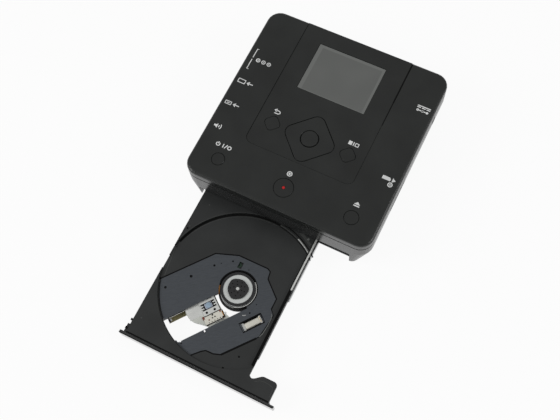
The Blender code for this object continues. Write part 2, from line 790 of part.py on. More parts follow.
def make_base():
    front = DRIVE_FRONT + BASE_SETBACK
    inner = base_outline(CASE_WALL + SEAT)
    plate = solid("base_plate", prism(inner, BASE_BOTTOM, BASE_TOP), "satin_black")
    trim = prism(
        rect(-CASE_WIDTH, CASE_WIDTH, CASE_FRONT - OVERCUT, front), BASE_BOTTOM - OVERCUT, BASE_TOP + OVERCUT
    )
    cut(plate, guide("base_front_trim", trim))
    x = CASE_WIDTH / 2 - BASE_NARROWING - FOOT_INSET
    for index, (side, y) in enumerate((
        (-1, CASE_FRONT + FOOT_INSET + BASE_SETBACK),
        (1, CASE_FRONT + FOOT_INSET + BASE_SETBACK),
        (-1, CASE_BACK - FOOT_INSET),
        (1, CASE_BACK - FOOT_INSET),
    )):
        profile = (
            (FOOT_RADIUS - FOOT_EDGE, 0),
            (FOOT_RADIUS, FOOT_EDGE),
            (FOOT_RADIUS, FOOT_LIFT - SEAT),
        )
        solid(f"foot_{index + 1}", turned(profile, 20), "rubber", (side * x, y, 0))


# Panel and screen

def make_panel():
    half = PANEL_WIDTH / 2 - SEAT
    front = CASE_FRONT + PANEL_FRONT + SEAT
    split = CASE_FRONT + PANEL_SPLIT
    corner = PANEL_CORNER_RADIUS - SEAT
    outline = arc(corner, math.pi, math.pi * 3 / 2, (-half + corner, front + corner))
    outline += arc(corner, -math.pi / 2, 0, (half - corner, front + corner))
    outline += [(half, split - SEAT / 2), (-half, split - SEAT / 2)]
    panel = solid("key_panel", prism(outline, PANEL_BOTTOM, PANEL_TOP), "satin_black")
    tools = []
    nav = prism(
        rounded_diamond(NAV_HALF_DIAGONAL + NAV_GAP, NAV_CORNER_RADIUS + NAV_GAP, nav_centre(), 5),
        PANEL_BOTTOM - OVERCUT,
        PANEL_TOP + OVERCUT,
    )
    tools.append(guide("panel_nav_hole", nav))
    for name, centre in side_key_places().items():
        hole = prism(
            rounded_diamond(SIDE_KEY_HALF_DIAGONAL + BUTTON_GAP, SIDE_KEY_CORNER_RADIUS, centre, 4),
            PANEL_BOTTOM - OVERCUT,
            PANEL_TOP + OVERCUT,
        )
        tools.append(guide(f"panel_{name}_hole", hole))
    cut(panel, *tools)
    back = CASE_BACK - PANEL_BACK_SETBACK
    window = solid(
        "screen_window",
        prism(rect(-half, half, split + SEAT / 2, back), PANEL_BOTTOM, PANEL_TOP),
        "gloss_black",
    )
    cut(window, guide("window_hole", prism(screen_outline(SEAT), PANEL_BOTTOM - OVERCUT, PANEL_TOP + OVERCUT)))


def make_screen():
    module_bottom = KEY_BOARD_TOP + SEAT
    module_top = module_bottom + MODULE_THICKNESS
    centre = (0, CASE_FRONT + SCREEN_CENTRE)
    solid(
        "lcd_module",
        prism(rounded_rect(MODULE_WIDTH, MODULE_DEPTH, RUN, centre, 2), module_bottom, module_top),
        "steel",
    )
    solid("lcd_glass", prism(screen_outline(0), module_top + SEAT, PANEL_TOP - SCREEN_SINK), "screen_grey")


# Buttons

def flange_levels():
    top = CEILING - FLANGE_DROP
    return top - FLANGE_THICKNESS, top


def make_round_buttons():
    flange_bottom, flange_top = flange_levels()
    stem_bottom = flange_bottom - SEAT
    for name, (centre, radius) in button_places().items():
        top = CASE_TOP + BUTTON_PROUD
        profile = [
            (STEM_RADIUS, stem_bottom),
            (STEM_RADIUS, flange_bottom),
            (radius + FLANGE_WIDTH, flange_bottom),
            (radius + FLANGE_WIDTH, flange_top),
            (radius, flange_top),
            (radius, top - BUTTON_EDGE),
            (radius - BUTTON_EDGE, top),
        ]
        if name == "record_button":
            profile += [(LAMP_RADIUS + SEAT, top), (LAMP_RADIUS + SEAT, top - LAMP_DEPTH)]
        solid(name, turned(profile, 36), "key_black", (*centre, 0))
    centre = button_places()["record_button"][0]
    lamp_top = CASE_TOP + BUTTON_PROUD
    lamp = turned(((LAMP_RADIUS, lamp_top - LAMP_DEPTH + SEAT), (LAMP_RADIUS, lamp_top)), 16)
    solid("record_lamp", lamp, "red_lamp", (*centre, 0))


def make_side_keys():
    flange_bottom, flange_top = flange_levels()
    stem_bottom = flange_bottom - SEAT
    top = PANEL_TOP + BUTTON_PROUD
    for name, centre in side_key_places().items():
        steps = 4
        body = rounded_diamond(SIDE_KEY_HALF_DIAGONAL, SIDE_KEY_CORNER_RADIUS, steps=steps)
        crown = rounded_diamond(
            SIDE_KEY_HALF_DIAGONAL - BUTTON_EDGE * math.sqrt(2),
            SIDE_KEY_CORNER_RADIUS - BUTTON_EDGE,
            steps=steps,
        )
        flange = rounded_diamond(
            SIDE_KEY_HALF_DIAGONAL + FLANGE_WIDTH * math.sqrt(2),
            SIDE_KEY_CORNER_RADIUS + FLANGE_WIDTH,
            steps=steps,
        )
        stem = circle_like(body, STEM_RADIUS)
        rings = (
            level(stem, stem_bottom),
            level(stem, flange_bottom),
            level(flange, flange_bottom),
            level(flange, flange_top),
            level(body, flange_top),
            level(body, top - BUTTON_EDGE),
            level(crown, top),
        )
        solid(name, loft(rings), "key_black", (*centre, 0))


def nav_levels():
    flange_top = CEILING - NAV_FLANGE_DROP
    flange_bottom = flange_top - FLANGE_THICKNESS
    cradle_top = flange_bottom - NAV_RISE
    return flange_top, flange_bottom, cradle_top, cradle_top - CRADLE_THICKNESS


def nav_outline(margin):
    """The diamond grown by a margin, with as many points whatever the margin."""
    sides = rounded_diamond(1, NAV_CORNER_RADIUS / NAV_HALF_DIAGONAL)
    points = divided(sides, 1 / NAV_SIDE_PARTS)
    grown = offset([(NAV_HALF_DIAGONAL * x, NAV_HALF_DIAGONAL * y) for x, y in points], margin)
    return grown


def make_nav_keys():
    flange_top, flange_bottom, cradle_top, cradle_bottom = nav_levels()
    pivot = (flange_bottom + cradle_top) / 2
    centre = nav_centre()
    top = PANEL_TOP + BUTTON_PROUD
    body, crown, flange = (
        nav_outline(margin) for margin in (0, -BUTTON_EDGE, FLANGE_WIDTH)
    )
    bore = circle_like(body, OK_RADIUS + OK_GAP)
    mouth = circle_like(body, OK_RADIUS + OK_GAP + BUTTON_EDGE)
    pad = solid(
        "nav_pad",
        turned_shell((
            (flange, flange_bottom),
            (flange, flange_top),
            (body, flange_top),
            (body, top - BUTTON_EDGE),
            (crown, top),
            (mouth, top),
            (bore, top - BUTTON_EDGE),
            (bore, flange_bottom),
        )),
        "key_black",
        (*centre, 0),
    )
    moved_origin(pad, (*centre, pivot))
    ok_flange_top = flange_bottom - NAV_RISE / 2
    ok_flange_bottom = ok_flange_top - FLANGE_THICKNESS
    ok_flange = OK_RADIUS + FLANGE_WIDTH
    inner = ok_flange + RUN
    cradle = solid(
        "nav_cradle",
        turned(
            (
                (inner, cradle_bottom),
                (inner + CRADLE_WIDTH, cradle_bottom),
                (inner + CRADLE_WIDTH, cradle_top),
                (inner, cradle_top),
            ),
            bored=True,
        ),
        "pale_resin",
        (*centre, 0),
    )
    moved_origin(cradle, (*centre, pivot))
    profile = (
        (STEM_RADIUS, ok_flange_bottom - SEAT),
        (STEM_RADIUS, ok_flange_bottom),
        (ok_flange, ok_flange_bottom),
        (ok_flange, ok_flange_top),
        (OK_RADIUS, ok_flange_top),
        (OK_RADIUS, top + BUTTON_PROUD - BUTTON_EDGE),
        (OK_RADIUS - BUTTON_EDGE, top + BUTTON_PROUD),
    )
    solid("ok_button", turned(profile, 32), "key_black", (*centre, 0))


# Boards

def switch_parts(name, centre, height):
    half = SWITCH_SIZE / 2
    body = prism(
        rect(centre[0] - half, centre[0] + half, centre[1] - half, centre[1] + half),
        KEY_BOARD_TOP - BOARD_THICKNESS / 2,
        KEY_BOARD_TOP + height,
    )
    plunger = prism(
        circle(PLUNGER_RADIUS, centre, 12),
        KEY_BOARD_TOP + height / 2,
        KEY_BOARD_TOP + height + PLUNGER_HEIGHT,
    )
    return guide(f"{name}_switch", body), guide(f"{name}_plunger", plunger)


def make_key_board():
    width = CASE_WIDTH - 2 * KEY_BOARD_MARGIN
    depth = CASE_DEPTH - 2 * KEY_BOARD_MARGIN
    outline = rounded_rect(width, depth, STANDOFF_RADIUS, (0, CASE_MIDDLE), 3)
    board = solid("key_board", prism(outline, KEY_BOARD_BOTTOM, KEY_BOARD_TOP), "board_green")
    parts = []
    for name, (centre, radius) in button_places().items():
        parts += switch_parts(name, centre, SWITCH_HEIGHT)
    for name, centre in side_key_places().items():
        parts += switch_parts(name, centre, SWITCH_HEIGHT)
    x, y = nav_centre()
    reach = NAV_SWITCH_REACH
    parts += switch_parts("ok", (x, y), OK_SWITCH_HEIGHT)
    for name, centre in (
        ("nav_right", (x + reach, y)),
        ("nav_left", (x - reach, y)),
        ("nav_up", (x, y + reach)),
        ("nav_down", (x, y - reach)),
    ):
        parts += switch_parts(name, centre, NAV_SWITCH_HEIGHT)
    join(board, *parts)


def make_main_board():
    front = CASE_FRONT + MAIN_BOARD_FRONT
    centre = (0, front + MAIN_BOARD_DEPTH / 2)
    outline = rounded_rect(MAIN_BOARD_WIDTH, MAIN_BOARD_DEPTH, STANDOFF_RADIUS, centre, 2)
    board = solid("main_board", prism(outline, MAIN_BOARD_BOTTOM, MAIN_BOARD_TOP), "board_green")
    sunk = MAIN_BOARD_TOP - BOARD_THICKNESS / 2
    parts = []
    for name, size, (across, along) in (
        ("processor", PROCESSOR_SIZE, PROCESSOR_PLACE_SHARES),
        ("memory_left", MEMORY_SIZE, MEMORY_LEFT_PLACE_SHARES),
        ("memory_right", MEMORY_SIZE, MEMORY_RIGHT_PLACE_SHARES),
    ):
        spot = (across * MAIN_BOARD_WIDTH, front + along * MAIN_BOARD_DEPTH)
        chip = prism(rounded_rect(size, size, SEAT, spot, 1), sunk, MAIN_BOARD_TOP + CHIP_HEIGHT)
        parts.append(guide(name, chip))
    for index, (across, along) in enumerate(CAPACITOR_PLACE_SHARES):
        spot = (across * MAIN_BOARD_WIDTH, front + along * MAIN_BOARD_DEPTH)
        can = prism(circle(CAPACITOR_RADIUS, spot, 16), sunk, MAIN_BOARD_TOP + CAPACITOR_HEIGHT)
        parts.append(guide(f"capacitor_{index + 1}", can))
    for side in (-1, 1):
        x = side * (MAIN_BOARD_WIDTH / 2 - FOOT_INSET)
        y = DRIVE_BACK + STANDOFF_RADIUS + RUN
        post = prism(circle(STANDOFF_RADIUS, (x, y), 16), BASE_TOP + SEAT, MAIN_BOARD_BOTTOM + BOARD_THICKNESS / 2)
        parts.append(guide(f"standoff_{'left' if side < 0 else 'right'}", post))
    join(board, *parts)


# Sockets, made with +X outward from the outside of the wall

def box(left, right, front, back, bottom, top):
    return prism(rect(left, right, front, back), bottom, top)


def socket_place(side, place, axis):
    return (side * CASE_WIDTH / 2, CASE_FRONT + place, axis), (0 if side > 0 else math.pi)


def make_sound_jacks():
    face = -CASE_WALL - SOCKET_SETBACK
    foot = MAIN_BOARD_TOP + SEAT - SOCKET_AXIS
    half = SOUND_JACK_BLOCK / 2
    for index, place in enumerate(sound_jack_places()):
        where, turn = socket_place(-1, place, SOCKET_AXIS)
        name = f"sound_jack_{index + 1}"
        block = box(face - SOUND_JACK_LENGTH, face, -half, half, foot, half)
        jack = solid(name, block, "key_black", where, turn)
        barrel = prism(circle(SOUND_JACK_BARREL, steps=20), face - RUN, -SOUND_JACK_SINK)
        bore = prism(circle(SOUND_JACK_BORE, steps=14), -SOUND_JACK_LENGTH, OVERCUT)
        join(jack, guide(f"{name}_barrel", along_x(barrel, 0, 0, 0), where, turn))
        cut(jack, guide(f"{name}_bore", along_x(bore, 0, 0, 0), where, turn))


def make_port(name, side, place, axis, width, height, length, depth, tongue, material="steel"):
    """A metal-shelled socket on a pedestal, open to the outside round its tongue."""
    where, turn = socket_place(side, place, axis)
    foot = MAIN_BOARD_TOP + SEAT - axis
    outer = -SOUND_JACK_SINK
    shell = box(outer - length, outer, -width / 2, width / 2, -height / 2, height / 2)
    port = solid(name, shell, material, where, turn)
    back = outer - length
    inset = CASE_WALL + 2 * SOCKET_SETBACK
    pedestal = box(back, -inset, -width / 2 + SEAT, width / 2 - SEAT, foot, -height / 2 + PORT_SHEET / 2)
    wide = width / 2 - PORT_SHEET
    high = height / 2 - PORT_SHEET
    cavity = box(outer - depth, OVERCUT, -wide, wide, -high, high)
    join(port, guide(f"{name}_pedestal", pedestal, where, turn))
    cut(port, guide(f"{name}_cavity", cavity, where, turn))
    if tongue:
        half = tongue / 2
        leaf = box(outer - depth - PORT_SHEET, outer - RUN, -wide + tongue, wide - tongue, -half, half)
        join(port, guide(f"{name}_tongue", leaf, where, turn))


def make_sockets():
    make_sound_jacks()
    make_port(
        "video_port", -1, VIDEO_PORT_PLACE, SOCKET_AXIS,
        VIDEO_PORT_WIDTH, VIDEO_PORT_HEIGHT, VIDEO_PORT_LENGTH, PORT_DEPTH, PORT_TONGUE,
    )
    make_port(
        "data_port", -1, DATA_PORT_PLACE, SOCKET_AXIS,
        DATA_PORT_WIDTH, DATA_PORT_HEIGHT, DATA_PORT_LENGTH, PORT_DEPTH, PORT_TONGUE,
    )
    make_port(
        "card_socket", 1, CARD_SLOT_PLACE, CARD_AXIS,
        CARD_SLOT_WIDTH, CARD_SLOT_HEIGHT, CARD_SOCKET_LENGTH, CARD_DEPTH, 0,
    )
    where, turn = socket_place(1, POWER_INLET_PLACE, SOCKET_AXIS)
    face = -CASE_WALL - SOCKET_SETBACK
    foot = MAIN_BOARD_TOP + SEAT - SOCKET_AXIS
    half = POWER_INLET_SIZE / 2
    block = box(face - POWER_INLET_LENGTH, face, -half, half, foot, half)
    inlet = solid("power_inlet", block, "key_black", where, turn)
    bore = prism(circle(POWER_INLET_BORE, steps=20), face - POWER_INLET_DEPTH, OVERCUT)
    pin = prism(circle(POWER_INLET_PIN, steps=12), face - POWER_INLET_DEPTH - RUN, face - RUN)
    cut(inlet, guide("inlet_bore", along_x(bore, 0, 0, 0), where, turn))
    join(inlet, guide("inlet_pin", along_x(pin, 0, 0, 0), where, turn))


# Drive chassis

def make_drive():
    half = DRIVE_WIDTH / 2
    wall_top = LID_BOTTOM - SEAT
    pan = solid(
        "drive_pan",
        box(DRIVE_OFFSET - half, DRIVE_OFFSET + half, DRIVE_FRONT, DRIVE_BACK, PAN_BOTTOM, wall_top),
        "steel",
    )
    inside = box(
        DRIVE_OFFSET - half + DRIVE_SHEET,
        DRIVE_OFFSET + half - DRIVE_SHEET,
        DRIVE_FRONT - OVERCUT,
        DRIVE_BACK - DRIVE_SHEET,
        PAN_FLOOR,
        wall_top + OVERCUT,
    )
    cut(pan, guide("pan_inside", inside))
    lid = solid(
        "drive_lid",
        box(DRIVE_OFFSET - half, DRIVE_OFFSET + half, DRIVE_FRONT, DRIVE_BACK, LID_BOTTOM, LID_TOP),
        "steel",
    )
    pressing = prism(
        rounded_rect(
            LID_PRESSING_WIDTH,
            LID_PRESSING_LENGTH,
            CASE_CORNER_RADIUS,
            (DRIVE_OFFSET, (DRIVE_FRONT + DRIVE_BACK) / 2),
            3,
        ),
        LID_TOP - DRIVE_SHEET / 2,
        LID_TOP + LID_PRESSING_DEPTH,
    )
    join(lid, guide("lid_pressing", pressing))
    right = DRIVE_OFFSET + half - DRIVE_SHEET - SEAT
    left = SPINDLE_X + rail_span(1)[1] + SEAT + GUIDE_WEB + RUN
    back = DRIVE_BACK - DRIVE_SHEET - SEAT
    low = PAN_FLOOR + DRIVE_BOARD_GAP
    board = solid(
        "drive_board",
        box(left, right, back - DRIVE_BOARD_LENGTH, back, low, low + BOARD_THICKNESS),
        "board_green",
    )
    middle = (left + right) / 2
    parts = []
    for index, share in enumerate(DRIVE_CHIP_PLACE_SHARES):
        y = back - DRIVE_BOARD_LENGTH * share
        chip = prism(
            rounded_rect(MEMORY_SIZE, MEMORY_SIZE, SEAT, (middle, y), 1),
            low + BOARD_THICKNESS / 2,
            low + BOARD_THICKNESS + CHIP_HEIGHT / 2,
        )
        parts.append(guide(f"drive_chip_{index + 1}", chip))
        foot = prism(circle(STANDOFF_RADIUS / 2, (middle, y), 10), PAN_FLOOR + SEAT, low + BOARD_THICKNESS / 2)
        parts.append(guide(f"drive_post_{index + 1}", foot))
    join(board, *parts)


# Rails, in the frame of the spindle

def rail_span(side):
    """Inner and outer edge of a rail, measured from the spindle toward its side."""
    edge = (TRAY_RIGHT if side > 0 else TRAY_LEFT) - SKIRT_INSET
    return edge + RAIL_GAP, edge + RAIL_GAP + RAIL_DEPTH


def swept_along_y(section, start, end):
    """Sweep a section of (x, z) points along Y."""
    shape = prism([(z, x) for x, z in section], start, end)
    swap = Matrix(((0, 1, 0, 0), (0, 0, 1, 0), (1, 0, 0, 0), (0, 0, 0, 1)))
    bmesh.ops.transform(shape, matrix=swap, verts=shape.verts)
    bmesh.ops.recalc_face_normals(shape, faces=shape.faces)
    return shape


def make_rails():
    top = LAND - RAIL_TOP
    bottom = LAND - RAIL_BOTTOM
    place = (SPINDLE_X, SPINDLE_Y, 0)
    guide_front = -SPINDLE_SETBACK + BEZEL_THICKNESS + WING_DEPTH + TRAY_TRAVEL + RUN
    guide_back = DRIVE_BACK - DRIVE_SHEET - SEAT - SPINDLE_Y
    for side, name in ((-1, "left"), (1, "right")):
        inner, outer = rail_span(side)
        section = [
            (side * inner, bottom),
            (side * outer, bottom),
            (side * outer, top),
            (side * inner, top),
            (side * inner, top - RAIL_SHEET),
            (side * (outer - RAIL_SHEET), top - RAIL_SHEET),
            (side * (outer - RAIL_SHEET), bottom + RAIL_SHEET),
            (side * inner, bottom + RAIL_SHEET),
        ]
        solid(f"rail_{name}", swept_along_y(section, RAIL_FRONT, RAIL_FRONT + RAIL_LENGTH), "steel", place)
        foot = PAN_FLOOR + SEAT
        if side > 0:
            web = outer + SEAT
            lip = web - GUIDE_LIP
            section = [
                (lip, bottom - SEAT - GUIDE_FLANGE),
                (web, bottom - SEAT - GUIDE_FLANGE),
                (web, foot),
                (web + GUIDE_WEB, foot),
                (web + GUIDE_WEB, top + SEAT + GUIDE_FLANGE),
                (lip, top + SEAT + GUIDE_FLANGE),
                (lip, top + SEAT),
                (web, top + SEAT),
                (web, bottom - SEAT),
                (lip, bottom - SEAT),
            ]
        else:
            section = rect(-outer, -inner, foot, bottom - SEAT)
        solid(f"rail_guide_{name}", swept_along_y(section, guide_front, guide_back), "pale_resin", place)


# Tray, in the frame of the spindle

def cover_plate_outline(margin):
    """The cover's outline: straight edges, then the recess's own circle at its outer end."""
    straight = scaled(COVER_PLATE_SHARES, RECESS_RADIUS)
    radius = RECESS_RADIUS - 2 * PLATE_GAP
    first_x, first_y, last_x, last_y = COVER_PLATE_ARC_SHARES
    start = math.atan2(first_y, first_x)
    end = math.atan2(last_y, last_x)
    round_end = arc(radius, start, end, steps=3 * ARC_STEPS)
    outline = (straight + round_end)[::-1]
    return offset(outline, margin) if margin else outline


def wing_outline():
    """The tray's plan: a plain plate with a wing behind the bezel at its right."""
    back = TRAY_FRONT + WING_DEPTH
    waist = back - SCOOP_RADIUS - BEZEL_EDGE
    outline = [(-TRAY_LEFT, TRAY_FRONT), (WING_REACH, TRAY_FRONT)]
    corner = WING_CORNER_RADIUS
    outline += arc(corner, 0, math.pi / 2, (WING_REACH - corner, back - corner), 4)
    start = TRAY_RIGHT + (WING_REACH - TRAY_RIGHT) / 2
    end = TRAY_RIGHT + SCOOP_RADIUS / 2
    steps = 8
    for index in range(steps + 1):
        share = index / steps
        x = start + (end - start) * share
        outline.append((x, waist + (back - waist) * (1 + math.cos(math.pi * share)) / 2))
    outline += [(TRAY_RIGHT, waist + SCOOP_RADIUS / 3), (TRAY_RIGHT, TRAY_BACK), (-TRAY_LEFT, TRAY_BACK)]
    return outline


def make_tray():
    place = (SPINDLE_X, SPINDLE_Y, 0)
    thickness = RECESS_DEPTH + TRAY_FLOOR
    under = LAND - thickness
    tray = solid("tray", prism(wing_outline(), under, LAND), "tray_black", place)
    low = LAND - SKIRT_DEPTH
    sunk = under + TRAY_FLOOR / 2
    wall = SKIRT_THICKNESS
    left = SKIRT_INSET - TRAY_LEFT
    right = TRAY_RIGHT - SKIRT_INSET
    parts = [
        guide("skirt_left", box(left, left + wall, TRAY_FRONT, TRAY_BACK, low, sunk), place),
        guide("skirt_right", box(right - wall, right, TRAY_FRONT, TRAY_BACK, low, sunk), place),
        guide("skirt_back", box(left, right, TRAY_BACK - wall, TRAY_BACK, low, sunk), place),
        guide("skirt_front", box(-TRAY_LEFT, WING_REACH, TRAY_FRONT, TRAY_FRONT + RUNNER_REACH, low, sunk), place),
        guide(
            "ear",
            box(
                -TRAY_LEFT - EAR_REACH,
                -TRAY_LEFT + wall / 2,
                TRAY_FRONT,
                TRAY_FRONT + EAR_LENGTH,
                LAND - RUNNER_TOP,
                LAND - RECESS_DEPTH / 2,
            ),
            place,
        ),
    ]
    back = TRAY_BACK - SEAT
    for side, edge in ((-1, left), (1, right)):
        ends = sorted((edge - side * wall / 2, edge + side * RUNNER_REACH))
        runner = box(ends[0], ends[1], RUNNER_FRONT, back, LAND - RUNNER_BOTTOM, LAND - RUNNER_TOP)
        parts.append(guide(f"runner_{'left' if side < 0 else 'right'}", runner, place))
    join(tray, *parts)
    recess = prism(circle(RECESS_RADIUS, steps=RECESS_STEPS), LAND - RECESS_DEPTH, LAND + OVERCUT)
    window = prism(cover_plate_outline(PLATE_GAP), under - OVERCUT, LAND)
    cut(tray, guide("disc_recess", recess, place), guide("traverse_window", window, place))


def make_bezel():
    """The tray's front: a bar with rounded ends and a softened front edge."""
    centre = (BEZEL_BOTTOM + BEZEL_HEIGHT / 2, DRIVE_OFFSET - BEZEL_SHIFT)
    rings = []
    for inset, depth in ((0, BEZEL_BACK), (0, BEZEL_FRONT + BEZEL_EDGE), (BEZEL_EDGE, BEZEL_FRONT)):
        outline = rounded_rect(
            BEZEL_HEIGHT - 2 * inset, BEZEL_WIDTH - 2 * inset, 2 * BEZEL_EDGE - inset, centre, 3
        )
        rings.append([(x, depth, z) for z, x in outline])
    solid("tray_bezel", loft(rings), "satin_black")


# Traverse, in a frame turned so that +X runs out along the sled's path

def traverse(name, shape, material):
    return solid(name, shape, material, (SPINDLE_X, SPINDLE_Y, 0), SLED_BEARING)


def traverse_guide(name, shape):
    return guide(name, shape, (SPINDLE_X, SPINDLE_Y, 0), SLED_BEARING)


def rod_shape(radius, start, end, side, drop, steps=14):
    return along_x(prism(circle(radius, steps=steps), 0, end - start), start, LAND - drop, side)


def make_traverse_frame():
    place = (SPINDLE_X, SPINDLE_Y, 0)
    top = LAND - RECESS_DEPTH - TRAY_FLOOR - SEAT
    low = LAND - FRAME_BOTTOM
    floor = low + FRAME_FLOOR
    frame = solid("traverse_frame", prism(cover_plate_outline(FRAME_LAP), low, top), "key_black", place)
    bosses = []
    boss_top = LAND - PLATE_DROP - PLATE_THICKNESS - SEAT
    for index, (along, across) in enumerate(PLATE_BOSS_SHARES):
        spot = (along * RECESS_RADIUS, across * RECESS_RADIUS)
        boss = prism(circle(ROD_RADIUS, spot, 12), top - FRAME_FLOOR, boss_top)
        bosses.append(traverse_guide(f"plate_boss_{index + 1}", boss))
    join(frame, *bosses)
    above = boss_top + OVERCUT
    edge = ROD_RADIUS + RAIL_SHEET
    well_floor = low + MOTOR_WELL_FLOOR
    slot_left = -SLOT_LEFT - SLOT_SIDE_MARGIN
    slot_right = SLOT_RIGHT + SEAT
    inner = ROD_INNER + ROD_HOLD - RUN
    frame_left = SKIRT_INSET - TRAY_LEFT + SKIRT_THICKNESS + SEAT
    frame_right = TRAY_RIGHT - SKIRT_INSET - SKIRT_THICKNESS - SEAT
    reach = 2 * RECESS_RADIUS
    tools = [
        guide("left_trim", box(-reach, frame_left, -reach, reach, low - OVERCUT, above), place),
        guide("right_trim", box(frame_right, reach, -reach, reach, low - OVERCUT, above), place),
        traverse_guide(
            "sled_way", box(0, 2 * RECESS_RADIUS, slot_left, slot_right, low - OVERCUT, above)
        ),
        traverse_guide(
            "rod_a_pocket",
            box(inner, ROD_A_OUTER - ROD_HOLD, ROD_A_SIDE - BUSH_REACH, slot_left + RUN, floor, above),
        ),
        traverse_guide(
            "rod_b_pocket",
            box(
                inner - 2 * SLED_TRAVEL_IN,
                ROD_B_OUTER - ROD_HOLD,
                slot_right - RUN,
                ROD_B_SIDE + BUSH_REACH,
                floor,
                above,
            ),
        ),
        traverse_guide(
            "screw_pocket",
            box(MOTOR_OUTER - RUN, SCREW_OUTER - SCREW_HOLD, ROD_B_SIDE, SCREW_SIDE + NUT_HALF_WIDTH + SEAT, floor, above),
        ),
        traverse_guide(
            "motor_pocket",
            box(MOTOR_INNER - RUN, MOTOR_OUTER + RUN, MOTOR_LEFT - RUN, MOTOR_RIGHT + RUN, floor, above),
        ),
    ]
    for name, radius, start, end, side, drop in (
        ("rod_a_bore", ROD_RADIUS, ROD_INNER - SEAT, ROD_A_OUTER + SEAT, ROD_A_SIDE, ROD_DROP),
        ("rod_b_bore", ROD_RADIUS, ROD_INNER - 3 * SLED_TRAVEL_IN, ROD_B_OUTER + SEAT, ROD_B_SIDE, ROD_DROP),
        ("screw_bore", SCREW_RADIUS, MOTOR_OUTER, SCREW_OUTER + SEAT, SCREW_SIDE, SCREW_DROP),
    ):
        tools.append(traverse_guide(name, rod_shape(radius + SEAT, start, end, side, drop, 16)))
    cut(frame, *tools)
    join(frame, traverse_guide("motor_disc", prism(circle(MOTOR_DISC_RADIUS, steps=36), low, floor)))
    well = prism(circle(MOTOR_DISC_RADIUS - RUN, steps=36), well_floor, above)
    cut(frame, traverse_guide("motor_well", well))
    traverse("guide_rod_a", rod_shape(ROD_RADIUS, ROD_INNER, ROD_A_OUTER, ROD_A_SIDE, ROD_DROP), "bright_steel")
    rod_b = rod_shape(ROD_RADIUS, ROD_INNER - 3 * SLED_TRAVEL_IN + SEAT, ROD_B_OUTER, ROD_B_SIDE, ROD_DROP)
    traverse("guide_rod_b", rod_b, "bright_steel")


def make_cover_plate():
    place = (SPINDLE_X, SPINDLE_Y, 0)
    top = LAND - PLATE_DROP
    bottom = top - PLATE_THICKNESS
    plate = solid("traverse_cover", prism(cover_plate_outline(0), bottom, top), "blued_plate", place)
    low = bottom - OVERCUT
    high = top + OVERCUT
    tools = [
        guide("spindle_hole", prism(circle(SPINDLE_HOLE_RADIUS, steps=40), low, high), place),
        traverse_guide("sled_slot", box(0, 2 * RECESS_RADIUS, -SLOT_LEFT, SLOT_RIGHT, low, high)),
        traverse_guide("motor_window", box(WINDOW_INNER, WINDOW_OUTER, WINDOW_LEFT, WINDOW_RIGHT, low, high)),
    ]
    for index, (x, y, radius) in enumerate(COVER_PLATE_HOLE_SHARES):
        spot = (x * RECESS_RADIUS, y * RECESS_RADIUS)
        hole = prism(circle(radius * RECESS_RADIUS, spot, 12), low, high)
        tools.append(guide(f"plate_hole_{index + 1}", hole, place))
    x, y = SQUARE_HOLE_PLACE_SHARES
    square = rounded_rect(
        SQUARE_HOLE_WIDTH, SQUARE_HOLE_LENGTH, SEAT, (x * RECESS_RADIUS, y * RECESS_RADIUS), 1
    )
    tools.append(guide("square_hole", prism(square, low, high), place))
    for index, (x, y) in enumerate(COVER_PLATE_SLIT_SHARES):
        slit = prism(rounded_rect(SLIT_LENGTH, SLIT_WIDTH, SEAT, steps=1), low, high)
        where = (SPINDLE_X + x * RECESS_RADIUS, SPINDLE_Y + y * RECESS_RADIUS, 0)
        tools.append(guide(f"plate_slit_{index + 1}", slit, where, SLED_BEARING + math.pi / 2))
    cut(plate, *tools)


